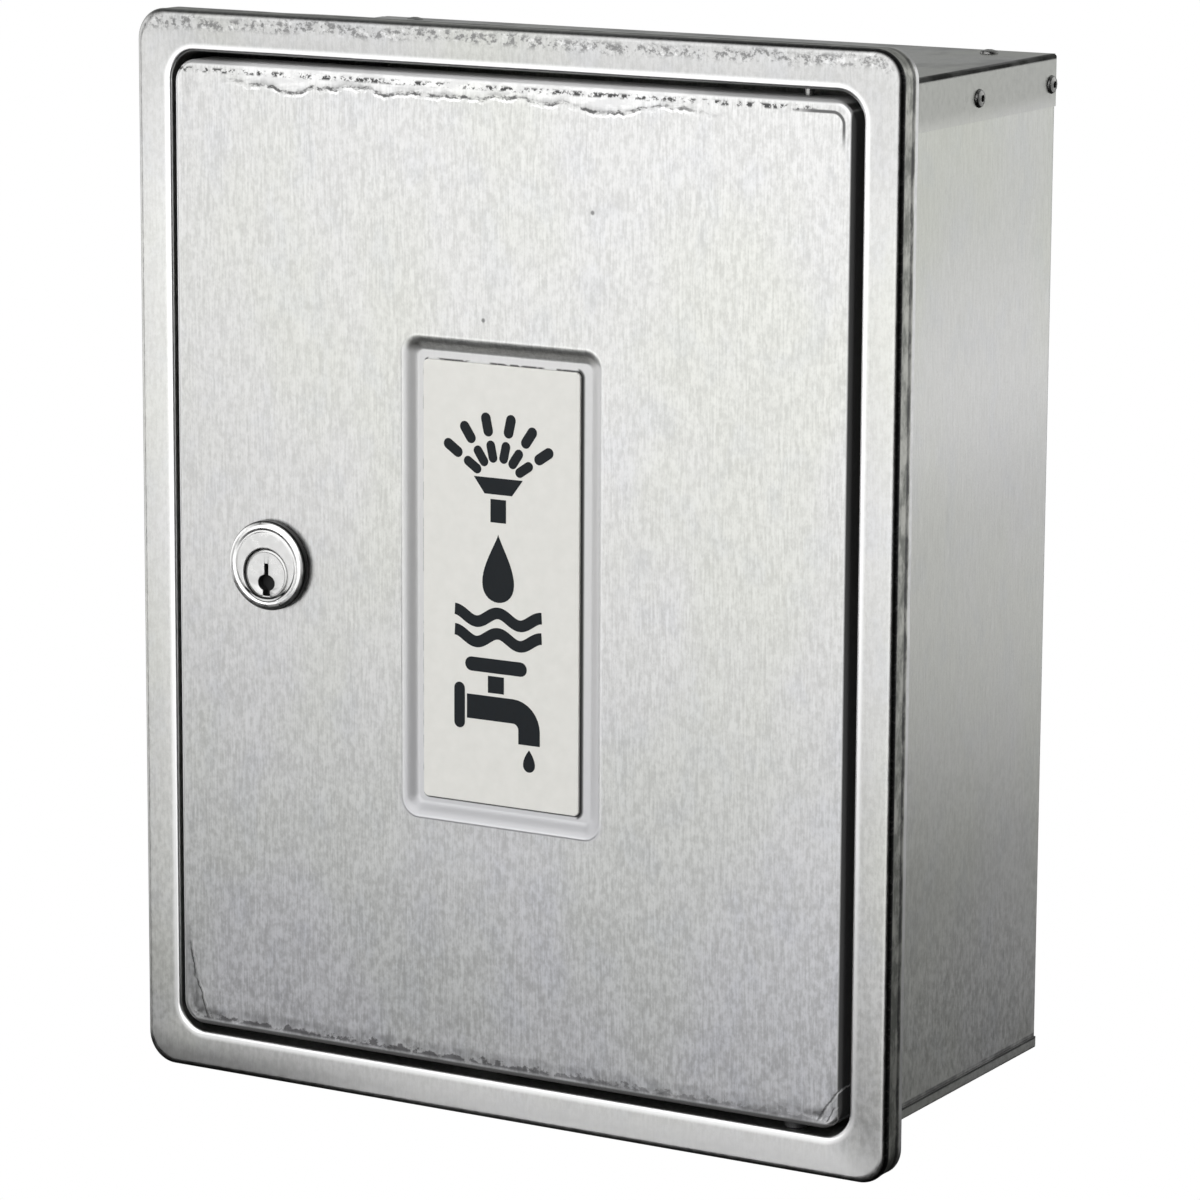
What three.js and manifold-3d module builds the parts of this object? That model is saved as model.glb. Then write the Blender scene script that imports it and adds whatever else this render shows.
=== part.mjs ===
// Wall cabinet for a watering tap: a folded steel box with a stamped frame, a flush lockable door on two
// pins, and a horizontal hose tap inside. Millimetres, +Z up. The origin is the centre of the back wall's
// outer face: the wall is the plane y = 0, the door faces -Y, and +X is to the right of the door's label.

import * as THREE from 'three';
import { mergeVertices } from 'three/addons/utils/BufferGeometryUtils.js';
import Module from 'manifold-3d';

const wasm = await Module();
wasm.setup();

// ---------------------------------------------------------------- driving dimensions

const cabinetDepth = 120; // wall to the frame's front face
const openingWidth = 228;
const openingHeight = 296;
const openingRadius = 8.5;
const borderWidth = 12; // opening to the frame's outer edge
const borderReturn = 10; // depth of the frame's outer edge
const borderRadius = 9; // outer corner of the frame
const frameEdgeRadius = 2;
const openingEdgeRadius = 1.2;
const openingReturn = 22; // depth of the flange that lines the opening
const sheet = 0.6; // frame and box
const seam = 0.1; // between sheets that are welded or riveted together
const boxSetback = 0.7; // from the frame's outer return back to the box

const doorSheet = 1;
const doorGap = 2.3; // between the door and the opening: above, below and on the hinge side
const lockSideGap = 1.4;
const doorRadius = 7;
const doorEdgeRadius = 1.2;
const doorReturn = 11;

const fieldCentre = { x: -0.8, z: -0.5 }; // sunken field for the label
const fieldWidth = 67.8;
const fieldHeight = 143.3;
const fieldRadius = 6;
const fieldSlope = 5.2;
const fieldDepth = 2.4;
const labelCentre = { x: -1.65, z: -0.95 };
const labelWidth = 52.3;
const labelHeight = 129;
const labelThickness = 0.8;

const topBand = 15; // how far the top plate is folded down over the side walls
const bottomBand = 3.6;
const wallBend = 1.8; // rear corners of the box
const plateBend = 0.75; // edges of the top and bottom plates
const rearFlange = 16; // the back wall's top and bottom edges, folded forward

const hinge = { x: 94.4, y: -114 };
const hingePinRadius = 1.5;
const runningGap = 0.15; // between a pin and what turns on it

const lock = { x: -79.6, z: -1.7 };
const plugDrop = 2.5; // the plug sits below the centre of the lock
const rosetteRadius = 13;
const rosetteHeight = 3.4;
const barrelRadius = 11.9;
const plugRadius = 7.5;
const camReach = 32;
const camThickness = 2;

const stripInnerEdge = -103;
const stripFace = -105.6;
const stripThickness = 0.8;
const stripHeight = 240;
const bufferSpacing = 180;

const tap = { y: -50, z: 45 }; // centre of the valve, on the inlet's axis
const inletRadius = 10;
const inletBore = 6.5;
const pipeHoleRadius = 15;
const outlet = { y: -80, z: tap.z - 22 };

const mountingHoles = { x: 80, z: 115, radius: 3 };
const drainHoles = { x: 60, y: -60, radius: 4 };
const topRivet = { x: 98.3, y: -10.2 };
const sideRivet = { frontY: -52.4, rearY: -5, z: 140.8 };
const rivetHoleRadius = 1.8;

// ---------------------------------------------------------------- planes that follow from them

const front = -cabinetDepth;
const openingX = openingWidth / 2;
const openingZ = openingHeight / 2;
const returnRear = front + openingReturn;
const wallX = openingX + sheet + seam; // inner face of a side wall
const wallZ = openingZ + sheet + seam; // inner face of the top and bottom plates
const boxFront = front + borderReturn + boxSetback;
const doorX = openingX - (doorGap + lockSideGap) / 2; // half its width
const doorCentre = { x: (lockSideGap - doorGap) / 2, z: 0 };
const doorZ = openingZ - doorGap;
const doorRear = front + doorReturn;
const doorInnerFace = front + doorSheet;
const flangeInnerZ = doorZ - doorSheet;
const plugZ = lock.z - plugDrop;
const barrelRear = front + 16;
const camFront = barrelRear + 0.9;
const seat = tap.z + 6; // top of the valve seat

// ---------------------------------------------------------------- finishes

const finishes = {
  brushedSteel: { color: 0xc4c5c2, roughness: 0.42, metalness: 1 },
  platedSteel: { color: 0xb9bab6, roughness: 0.3, metalness: 1 },
  chrome: { color: 0xd8d9da, roughness: 0.14, metalness: 1 },
  brass: { color: 0xb99a56, roughness: 0.34, metalness: 1 },
  rubber: { color: 0x17181a, roughness: 0.8, metalness: 0 },
  nylon: { color: 0x1d1d1e, roughness: 0.55, metalness: 0 },
  labelPlate: { color: 0xe9e7dc, roughness: 0.45, metalness: 0 },
};

function piece(name, geometry, finish) {
  const mesh = new THREE.Mesh(geometry, new THREE.MeshStandardMaterial(finishes[finish]));
  mesh.name = name;
  return mesh;
}

// ---------------------------------------------------------------- solids, cuts and joins

// Vertices shared, triangles of no area dropped, faces pointing out.
function closed(geometry) {
  const bare = geometry.clone();
  bare.deleteAttribute('normal');
  bare.deleteAttribute('uv');
  const merged = mergeVertices(bare);
  const points = merged.getAttribute('position');
  const triangles = [];
  let volume = 0;
  const [a, b, c] = [new THREE.Vector3(), new THREE.Vector3(), new THREE.Vector3()];
  for (let i = 0; i < merged.index.count; i += 3) {
    const corner = [0, 1, 2].map((k) => merged.index.getX(i + k));
    if (new Set(corner).size < 3) continue;
    triangles.push(corner);
    a.fromBufferAttribute(points, corner[0]);
    b.fromBufferAttribute(points, corner[1]);
    c.fromBufferAttribute(points, corner[2]);
    volume += a.dot(b.cross(c));
  }
  if (volume < 0) triangles.forEach((corner) => corner.reverse());
  merged.setIndex(triangles.flat());
  return merged;
}

function toSolid(geometry) {
  const mesh = closed(geometry);
  const vertProperties = new Float32Array(mesh.getAttribute('position').array);
  const triVerts = new Uint32Array(mesh.index.array);
  return new wasm.Manifold(new wasm.Mesh({ numProp: 3, vertProperties, triVerts }));
}

function toGeometry(solid) {
  const mesh = solid.getMesh();
  const geometry = new THREE.BufferGeometry();
  geometry.setAttribute('position', new THREE.BufferAttribute(mesh.vertProperties, 3));
  geometry.setIndex(new THREE.BufferAttribute(mesh.triVerts, 1));
  return geometry;
}

function joined(...geometries) {
  return toGeometry(geometries.map(toSolid).reduce((whole, next) => whole.add(next)));
}

function cut(geometry, ...tools) {
  return toGeometry(tools.map(toSolid).reduce((whole, tool) => whole.subtract(tool), toSolid(geometry)));
}

// ---------------------------------------------------------------- basic shapes

const along = {
  left: new THREE.Vector3(-1, 0, 0),
  right: new THREE.Vector3(1, 0, 0),
  forward: new THREE.Vector3(0, -1, 0),
  back: new THREE.Vector3(0, 1, 0),
  up: new THREE.Vector3(0, 0, 1),
  down: new THREE.Vector3(0, 0, -1),
};

// Turns a shape made along +Y to another direction, then moves it.
function placed(geometry, direction, x, y, z) {
  const turn = new THREE.Quaternion().setFromUnitVectors(along.back, direction);
  return geometry.applyQuaternion(turn).translate(x, y, z);
}

function block([x0, x1], [y0, y1], [z0, z1]) {
  const geometry = new THREE.BoxGeometry(x1 - x0, y1 - y0, z1 - z0);
  return geometry.translate((x0 + x1) / 2, (y0 + y1) / 2, (z0 + z1) / 2);
}

// A round bar that starts at a point and runs along a direction.
function bar(radius, length, direction, x, y, z, sides = 24) {
  const geometry = new THREE.CylinderGeometry(radius, radius, length, sides).translate(0, length / 2, 0);
  return placed(geometry, direction, x, y, z);
}

// A turned piece: [radius, distance along the direction] pairs, from axis to axis or round a ring.
function turned(profile, direction, x, y, z, sides = 24) {
  const points = profile.map(([radius, height]) => new THREE.Vector2(radius, height));
  return closed(placed(new THREE.LatheGeometry(points, sides), direction, x, y, z));
}

function ring(inner, outer, length) {
  return [[inner, 0], [outer, 0], [outer, length], [inner, length], [inner, 0]];
}

// A hexagon across its flats, with a round bore.
function hexNut(acrossFlats, bore, length, direction, x, y, z, sides = 24) {
  const corner = acrossFlats / Math.sqrt(3);
  const hexagon = new THREE.CylinderGeometry(corner, corner, length, 6).translate(0, length / 2, 0);
  const hole = bar(bore, length + 2, along.back, 0, -1, 0, sides);
  return placed(cut(hexagon, hole), direction, x, y, z);
}

// Round stretch of a section, from one angle to another, as [outward, back] pairs.
function arc(centre, radius, fromDegrees, toDegrees, steps) {
  return Array.from({ length: steps + 1 }, (_, i) => {
    const angle = THREE.MathUtils.degToRad(fromDegrees + ((toDegrees - fromDegrees) * i) / steps);
    return [centre[0] + radius * Math.cos(angle), centre[1] + radius * Math.sin(angle)];
  });
}

// A rounded rectangle in a plane of constant y.
function roundedLoop(halfWidth, halfHeight, radius, y, centre = { x: 0, z: 0 }) {
  const cornerSteps = 6;
  const corners = [[1, 1], [-1, 1], [-1, -1], [1, -1]];
  return corners.flatMap(([sideX, sideZ], quarter) =>
    Array.from({ length: cornerSteps + 1 }, (_, i) => {
      const angle = (quarter + i / cornerSteps) * (Math.PI / 2);
      const x = sideX * (halfWidth - radius) + radius * Math.cos(angle);
      const z = sideZ * (halfHeight - radius) + radius * Math.sin(angle);
      return [centre.x + x, y, centre.z + z];
    }),
  );
}

// Loops joined one to the next. A ring joins the last to the first; otherwise both ends are capped.
function skin(loops, isRing) {
  const count = loops[0].length;
  const positions = loops.flat(2);
  const index = [];
  const pairs = isRing ? loops.length : loops.length - 1;
  for (let i = 0; i < pairs; i++) {
    const near = i * count;
    const far = ((i + 1) % loops.length) * count;
    for (let j = 0; j < count; j++) {
      const next = (j + 1) % count;
      index.push(near + j, near + next, far + next, near + j, far + next, far + j);
    }
  }
  if (!isRing) {
    const last = (loops.length - 1) * count;
    for (let j = 1; j < count - 1; j++) {
      index.push(0, j + 1, j);
      index.push(last, last + j, last + j + 1);
    }
  }
  const geometry = new THREE.BufferGeometry();
  geometry.setAttribute('position', new THREE.Float32BufferAttribute(positions, 3));
  geometry.setIndex(index);
  return closed(geometry);
}

// A folded channel: a sheet that runs across and turns at both ends, extruded along +Z. The section's
// web lies on y = 0, its legs point to -Y, width is measured over the legs, and bend is the outer radius.
function channel(width, leg, length, bend) {
  const x = width / 2;
  const inside = x - sheet;
  const shape = new THREE.Shape();
  shape.moveTo(x, -leg);
  shape.lineTo(x, -bend);
  shape.absarc(x - bend, -bend, bend, 0, Math.PI / 2);
  shape.lineTo(bend - x, 0);
  shape.absarc(bend - x, -bend, bend, Math.PI / 2, Math.PI);
  shape.lineTo(-x, -leg);
  shape.lineTo(-inside, -leg);
  shape.lineTo(-inside, -bend);
  shape.absarc(bend - x, -bend, bend - sheet, Math.PI, Math.PI / 2, true);
  shape.lineTo(x - bend, -sheet);
  shape.absarc(x - bend, -bend, bend - sheet, Math.PI / 2, 0, true);
  shape.lineTo(inside, -leg);
  shape.closePath();
  return new THREE.ExtrudeGeometry(shape, { depth: length, bevelEnabled: false, curveSegments: 4 });
}

// A folded angle with its outer corner at a point: the leaf runs along u, the web against v, and both
// are as long as w is pointed. Its faces are put right by the cut that follows.
function angle({ leaf, web, thickness, bend, length }, [u, v, w], [x, y, z]) {
  const shape = new THREE.Shape();
  shape.moveTo(leaf, 0);
  shape.lineTo(bend, 0);
  shape.absarc(bend, -bend, bend, Math.PI / 2, Math.PI);
  shape.lineTo(0, -web);
  shape.lineTo(thickness, -web);
  shape.lineTo(thickness, -bend);
  shape.absarc(bend, -bend, bend - thickness, Math.PI, Math.PI / 2, true);
  shape.lineTo(leaf, -thickness);
  shape.closePath();
  const bent = new THREE.ExtrudeGeometry(shape, { depth: length, bevelEnabled: false, curveSegments: 3 });
  return bent.applyMatrix4(new THREE.Matrix4().makeBasis(u, v, w)).translate(x, y, z);
}

// ---------------------------------------------------------------- frame and box

// The frame's section, as [outward from the opening's edge, back from the front face] pairs: up the
// flange that lines the opening, across the face, round the outer edge, and back inside by one sheet.
function frameSection() {
  const innerBend = [openingEdgeRadius, openingEdgeRadius];
  const outerBend = [borderWidth - frameEdgeRadius, frameEdgeRadius];
  return [
    [0, openingReturn],
    ...arc(innerBend, openingEdgeRadius, 180, 270, 2),
    ...arc(outerBend, frameEdgeRadius, 270, 360, 3),
    [borderWidth, borderReturn],
    [borderWidth - sheet, borderReturn],
    ...arc(outerBend, frameEdgeRadius - sheet, 360, 270, 3),
    ...arc(innerBend, openingEdgeRadius - sheet, 270, 180, 2),
    [sheet, openingReturn],
  ];
}

function frontFrame() {
  const loops = frameSection().map(([outward, back]) => {
    const radius = THREE.MathUtils.mapLinear(outward, 0, borderWidth, openingRadius, borderRadius);
    return roundedLoop(openingX + outward, openingZ + outward, radius, front + back);
  });
  const drillRadius = hingePinRadius + runningGap;
  const drill = (side) => bar(drillRadius, 4, along.up, hinge.x, hinge.y, side * openingZ - 2);
  return cut(skin(loops, true), drill(1), drill(-1));
}

function boxShell() {
  const height = 2 * (wallZ - seam);
  const walls = channel(2 * (wallX + sheet), -boxFront, height, wallBend).translate(0, 0, -height / 2);
  const flangeX = [wallBend - wallX, wallX - wallBend];
  const flanges = [1, -1].map((side) => {
    const edges = [side * height / 2, side * (height / 2 - sheet)].sort((a, b) => a - b);
    return block(flangeX, [-rearFlange, -sheet / 2], edges);
  });
  const holes = [bar(pipeHoleRadius, 4, along.forward, 0, 2, tap.z, 32)];
  for (const side of [1, -1]) {
    for (const level of [1, -1]) {
      const [x, z] = [side * mountingHoles.x, level * mountingHoles.z];
      holes.push(bar(mountingHoles.radius, 4, along.forward, x, 2, z, 16));
    }
    for (const y of [sideRivet.frontY, sideRivet.rearY]) {
      holes.push(bar(rivetHoleRadius, 4, along.right, side * wallX - 2, y, sideRivet.z, 12));
    }
    holes.push(bar(rivetHoleRadius, 4, along.up, side * topRivet.x, topRivet.y, wallZ - 4, 12));
  }
  return cut(joined(walls, ...flanges), ...holes);
}

// The top plate, or with side = -1 the bottom plate: a channel whose legs hug the side walls and stop
// where the box's rear corners bend in.
function endPlate(side, band, holes) {
  const width = 2 * (wallX + 2 * sheet + seam);
  const plate = channel(width, band, -boxFront, plateBend).rotateX(side * Math.PI / 2);
  const start = side > 0 ? 0 : boxFront;
  const notchX = wallX + width / 2; // centre of a block that starts at the side wall's inner face
  const notches = [1, -1].map((end) =>
    block([end * notchX - width / 2, end * notchX + width / 2], [-wallBend, 1], [-wallZ - 2, wallZ + 2]));
  return cut(plate.translate(0, start, side * (wallZ + sheet)), ...holes, ...notches);
}

function topPlate() {
  const holes = [1, -1].flatMap((side) => [
    bar(rivetHoleRadius, 4, along.up, side * topRivet.x, topRivet.y, wallZ - 2, 12),
    bar(rivetHoleRadius, 4, along.right, side * wallX - 2, sideRivet.frontY, sideRivet.z, 12),
    bar(rivetHoleRadius, 4, along.right, side * wallX - 2, sideRivet.rearY, sideRivet.z, 12),
  ]);
  return endPlate(1, topBand, holes);
}

function bottomPlate() {
  const holes = [1, 0, -1].map((side) =>
    bar(drainHoles.radius, 4, along.up, side * drainHoles.x, drainHoles.y, -wallZ - 2, 16));
  return endPlate(-1, bottomBand, holes);
}

// A blind rivet: a domed head with its open stem, and the bulge behind both sheets.
function rivet(direction, x, y, z) {
  const profile = [
    [0, -3.2], [1.8, -3.2], [2.3, -1.6], [1.6, -1.5], [1.6, 0.05], [2.8, 0.05], [2.4, 0.8],
    [1, 1.2], [1, -0.6], [0, -0.6],
  ];
  return turned(profile, direction, x, y, z, 12);
}

function rivets() {
  const outerX = wallX + 2 * sheet + seam;
  const pieces = [];
  for (const [name, side, direction] of [['right', 1, along.right], ['left', -1, along.left]]) {
    for (const [place, y] of [['front', sideRivet.frontY], ['rear', sideRivet.rearY]]) {
      const body = rivet(direction, side * outerX, y, sideRivet.z);
      pieces.push(piece(`side_rivet_${name}_${place}`, body, 'platedSteel'));
    }
    const body = rivet(along.up, side * topRivet.x, topRivet.y, wallZ + sheet);
    pieces.push(piece(`top_rivet_${name}`, body, 'platedSteel'));
  }
  return pieces;
}

// ---------------------------------------------------------------- door stop

const bufferX = -110.2;
const bufferHoleRadius = 1.6;

// An angle on the left flange of the opening. The door closes against it and the cam turns in behind it.
function doorStopStrip() {
  const rootX = seam - openingX;
  const size = {
    leaf: stripInnerEdge - rootX,
    web: returnRear - 1 - stripFace,
    thickness: stripThickness,
    bend: 1.2,
    length: stripHeight,
  };
  const strip = angle(size, [along.right, along.forward, along.up], [rootX, stripFace, -stripHeight / 2]);
  const holes = [1, -1].map((side) =>
    bar(bufferHoleRadius, 4, along.back, bufferX, stripFace - 1, side * bufferSpacing / 2, 16));
  return cut(strip, ...holes);
}

function doorBuffer(side) {
  const reach = stripFace - doorRear - 0.3; // stops just short of the closed door
  const profile = [
    [0, reach], [1.9, reach - 0.3], [3, reach - 1.1], [3.5, 0.1], [1.4, 0.1], [1.4, -stripThickness - 0.1],
    [2.3, -stripThickness - 0.1], [2.3, -1.6], [1, -3.2], [0, -3.2],
  ];
  return turned(profile, along.forward, bufferX, stripFace, side * bufferSpacing / 2, 14);
}

// ---------------------------------------------------------------- hinges

function hingePin(side, direction) {
  const head = openingZ + sheet + 0.1;
  const profile = [
    [0, head + 1.4], [2.4, head + 1.4], [2.4, head], [hingePinRadius, head],
    [hingePinRadius, flangeInnerZ - 3.8], [1, flangeInnerZ - 4.4], [0, flangeInnerZ - 4.4],
  ];
  return turned(profile, direction, hinge.x, hinge.y, 0, 16);
}

function hingeWasher() {
  const thickness = doorGap - 0.3;
  const profile = ring(hingePinRadius + runningGap, 3.4, thickness);
  return turned(profile, along.down, hinge.x, hinge.y, -doorZ - 0.15, 16);
}

const bracket = { leaf: 14.9, web: 20, thickness: 1.1, bend: 1.6, length: 20 };
const bushRadius = 2.6;
const bushCollar = { radius: 3.5, height: 1.5 };

// An angle welded inside the door's corner. Its level leaf carries the bush.
function hingeBracket(side) {
  const level = side * (flangeInnerZ - seam);
  const corner = [hinge.x - bracket.length / 2, doorInnerFace + seam, level];
  const bent = angle(bracket, [along.back, side > 0 ? along.up : along.down, along.right], corner);
  const hole = bar(bushRadius + 0.1, 6, along.up, hinge.x, hinge.y, level - 3);
  return cut(bent, hole);
}

function hingeBush(direction) {
  const leafFar = flangeInnerZ - seam - bracket.thickness - 0.1;
  const top = leafFar + bracket.thickness;
  const bottom = leafFar - bushCollar.height;
  const bore = hingePinRadius + runningGap;
  const profile = [
    [bore, top], [bushRadius, top], [bushRadius, leafFar], [bushCollar.radius, leafFar],
    [bushCollar.radius, bottom], [bore, bottom], [bore, top],
  ];
  return turned(profile, direction, hinge.x, hinge.y, 0);
}

// ---------------------------------------------------------------- door

// Loops down the sloping edge of the sunken field, from the door's face to the field's floor.
function fieldLoops(faceY) {
  const steps = 4;
  return Array.from({ length: steps + 1 }, (_, i) => {
    const inset = (fieldSlope * i) / steps;
    const fall = (fieldDepth * (1 - Math.cos((Math.PI * i) / steps))) / 2;
    const radius = fieldRadius - inset * 0.8;
    return roundedLoop(fieldWidth / 2 - inset, fieldHeight / 2 - inset, radius, faceY + fall, fieldCentre);
  });
}

// One side of the door's sheet, from the field's floor out to the rear edge of the turned-back rim.
function doorSkin(halfWidth, halfHeight, cornerRadius, edgeRadius, faceY) {
  const rim = arc([-edgeRadius, edgeRadius], edgeRadius, 270, 360, 3);
  const edge = [...rim, [0, doorRear - faceY]].map(([outward, back]) => {
    const corner = cornerRadius + outward * 0.8;
    return roundedLoop(halfWidth + outward, halfHeight + outward, corner, faceY + back, doorCentre);
  });
  return [...fieldLoops(faceY).reverse(), ...edge];
}

function doorPanel() {
  const outside = doorSkin(doorX, doorZ, doorRadius, doorEdgeRadius, front);
  const insideRadius = doorRadius - doorSheet;
  const insideEdge = doorEdgeRadius - doorSheet;
  const inside = doorSkin(doorX - doorSheet, doorZ - doorSheet, insideRadius, insideEdge, doorInnerFace);
  const pinHoles = [1, -1].map((side) =>
    bar(hingePinRadius + 0.4, 4, along.up, hinge.x, hinge.y, side * doorZ - 2, 16));
  const lockHole = bar(barrelRadius + 0.2, 4, along.back, lock.x, front - 1, lock.z, 36);
  return cut(skin([...outside, ...inside.reverse()], false), lockHole, ...pinHoles);
}

function labelPlate() {
  const rear = front + fieldDepth - seam;
  const outline = (inset, y) =>
    roundedLoop(labelWidth / 2 - inset, labelHeight / 2 - inset, 1.6 - inset, y, labelCentre);
  const chamfer = 0.25;
  return skin([
    outline(chamfer, rear - labelThickness), outline(0, rear - labelThickness + chamfer), outline(0, rear),
  ], false);
}

// ---------------------------------------------------------------- lock

function lockBody() {
  const flangeRear = -0.7;
  const rearFace = -(barrelRear - front);
  const profile = [
    [0, rosetteHeight], [10.6, rosetteHeight], [11.8, rosetteHeight - 0.35], [12.6, rosetteHeight - 1.1],
    [rosetteRadius, rosetteHeight - 2], [rosetteRadius, -flangeRear], [barrelRadius, -flangeRear],
    [barrelRadius, rearFace + 1], [barrelRadius - 1, rearFace], [0, rearFace],
  ];
  const body = turned(profile, along.forward, lock.x, front, lock.z, 36);
  const plugBore = bar(plugRadius + 0.2, 18, along.back, lock.x, front - 5, plugZ, 32);
  const neckBore = bar(4.2, 20, along.back, lock.x, front - 1, plugZ);
  return cut(body, plugBore, neckBore);
}

function lockGasket() {
  const profile = ring(barrelRadius + 0.2, rosetteRadius, 0.5);
  return turned(profile, along.forward, lock.x, front - 0.1, lock.z, 36);
}

// Outline of the keyway: a slot, a bulb below it, and a wider slot below that.
function keyway(depth) {
  const slot = block([-0.65, 0.65], [0, depth], [-2, 3.1]);
  const bulb = new THREE.CylinderGeometry(2.9, 2.9, depth, 16).translate(0, depth / 2, 0);
  bulb.scale(1, 1, 0.84).translate(0, 0, -2.6);
  const foot = block([-1.2, 1.2], [0, depth], [-6.6, -3]);
  return joined(slot, bulb, foot);
}

// The plug is held behind a neck, and ends in a square tang that drives the cam.
function lockPlug() {
  const face = front - rosetteHeight + 0.5;
  const shoulder = front + 12.6;
  const bevel = 0.5;
  const profile = [
    [0, 0], [plugRadius - bevel, 0], [plugRadius, bevel], [plugRadius, shoulder - face],
    [4, shoulder - face], [4, barrelRear + 0.6 - face], [0, barrelRear + 0.6 - face],
  ];
  const barrel = turned(profile, along.back, 0, face, 0, 32);
  const tang = block([-2.8, 2.8], [barrelRear, camFront + camThickness - 0.1], [-2.8, 2.8]);
  const screwHole = bar(1.7, 10, along.forward, 0, camFront + 3, 0, 16);
  const keyHole = keyway(12).translate(0, face - 1, 0);
  return cut(joined(barrel, tang), screwHole, keyHole).translate(lock.x, 0, plugZ);
}

// A flat lever that hangs down when unlocked, and turns to the left behind the stop strip to lock.
function lockCam() {
  const [hub, tip] = [8, 6];
  const shape = new THREE.Shape();
  shape.absarc(0, 0, hub, 0, Math.PI);
  shape.lineTo(-tip, tip - camReach);
  shape.absarc(0, tip - camReach, tip, Math.PI, 2 * Math.PI);
  shape.closePath();
  const squareHole = new THREE.Path();
  squareHole.moveTo(-3, -3);
  squareHole.lineTo(-3, 3);
  squareHole.lineTo(3, 3);
  squareHole.lineTo(3, -3);
  squareHole.closePath();
  shape.holes.push(squareHole);
  const flat = { depth: camThickness, bevelEnabled: false, curveSegments: 12 };
  const lever = new THREE.ExtrudeGeometry(shape, flat);
  return lever.rotateX(Math.PI / 2).translate(lock.x, camFront + camThickness, plugZ);
}

function camScrew() {
  const seatY = camFront + camThickness + 0.1;
  const profile = [[0, -5.5], [1.5, -5.5], [1.5, 0], [4, 0], [4, 1.2], [3, 2], [0, 2]];
  const screw = turned(profile, along.back, lock.x, seatY, plugZ, 20);
  const driverSlot = block([-4, 4], [seatY + 1.1, seatY + 3], [-0.5, 0.5]).translate(lock.x, 0, plugZ);
  return cut(screw, driverSlot);
}

function lockWasher() {
  return turned(ring(barrelRadius + 0.2, 16, 0.8), along.back, lock.x, doorInnerFace + seam, lock.z, 32);
}

function lockNut() {
  return hexNut(29, barrelRadius + 0.2, 4.5, along.back, lock.x, doorInnerFace + 1, lock.z, 32);
}

// ---------------------------------------------------------------- tap

function pipeGrommet() {
  const profile = [
    [inletRadius + 0.2, 0], [pipeHoleRadius - 0.2, 0], [pipeHoleRadius - 0.2, sheet + seam],
    [pipeHoleRadius + 2.5, sheet + seam], [pipeHoleRadius + 1.5, 2.4], [inletRadius + 0.2, 2.4],
    [inletRadius + 0.2, 0],
  ];
  return turned(profile, along.forward, 0, 0, tap.z);
}

// A pressed bell that covers the hole in the wall.
function wallFlange() {
  const profile = [
    [24, 0.7], [24, 1.8], [22, 3.6], [14.5, 7.4], [12.6, 10.5], [10.4, 10.5], [10.4, 9.6],
    [11.9, 9.6], [13.8, 6.5], [21.3, 2.8], [23, 0.7], [24, 0.7],
  ];
  return turned(profile, along.forward, 0, 0, tap.z, 24);
}

// Centre line of the spout: forward out of the valve chamber, then round and down to the outlet.
function spoutPath(startY) {
  const level = seat + 6;
  return new THREE.CatmullRomCurve3([
    new THREE.Vector3(0, startY, level),
    new THREE.Vector3(0, -66, level - 0.5),
    new THREE.Vector3(0, -76, level - 8),
    new THREE.Vector3(0, outlet.y, level - 20),
    new THREE.Vector3(0, outlet.y, outlet.z),
  ]);
}

function tube(path, radius, sides, steps) {
  const section = new THREE.Shape(
    Array.from({ length: sides }, (_, i) => {
      const angle = (i * 2 * Math.PI) / sides;
      return new THREE.Vector2(radius * Math.cos(angle), radius * Math.sin(angle));
    }),
  );
  return new THREE.ExtrudeGeometry(section, { extrudePath: path, steps, bevelEnabled: false });
}

function tapBody() {
  const spoutPad = bar(9.4, 8, along.up, 0, outlet.y, outlet.z, 20);
  const chamber = turned([
    [0, -12], [8, -12], [12, -8], [13, -3], [13, 17], [14, 18], [14, 20], [0, 20],
  ], along.up, 0, tap.y, tap.z);
  const inlet = bar(inletRadius, -tap.y, along.forward, 0, 0, tap.z);
  const wrenchFlats = new THREE.CylinderGeometry(12.6, 12.6, 9, 6).translate(0, -20, tap.z);
  const casting = joined(chamber, inlet, wrenchFlats, tube(spoutPath(-56), 8, 14, 9), spoutPad);
  const inletHole = bar(inletBore, 1 - tap.y, along.forward, 0, 1, tap.z);
  const lowerChamber = bar(7.5, 10, along.up, 0, tap.y, tap.z - 7);
  const seatHole = bar(4.5, 8, along.up, 0, tap.y, tap.z);
  const upperChamber = bar(9.5, 20, along.up, 0, tap.y, seat);
  const mouth = bar(5.4, 6, along.up, 0, outlet.y, outlet.z - 4, 14);
  const passage = tube(spoutPath(tap.y), 5.2, 10, 9);
  return cut(casting, inletHole, lowerChamber, seatHole, upperChamber, passage, mouth);
}

// The bonnet screws into the valve chamber; the packing sits in its neck.
function tapBonnet() {
  const profile = [
    [9.3, 14], [9.3, 20.2], [12, 20.2], [12.5, 21], [12.5, 25], [11.5, 26], [8, 26.6], [8, 34],
    [6.2, 34], [6.2, 31], [3.6, 31], [3.6, 23.4], [6.8, 23.4], [6.8, 14], [9.3, 14],
  ];
  return turned(profile, along.up, 0, tap.y, tap.z);
}

function glandPacking() {
  return turned(ring(3.45, 6, 2.9), along.up, 0, tap.y, tap.z + 31.05);
}

function glandNut() {
  return hexNut(17, 3.6, 6, along.up, 0, tap.y, tap.z + 34.2);
}

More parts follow.
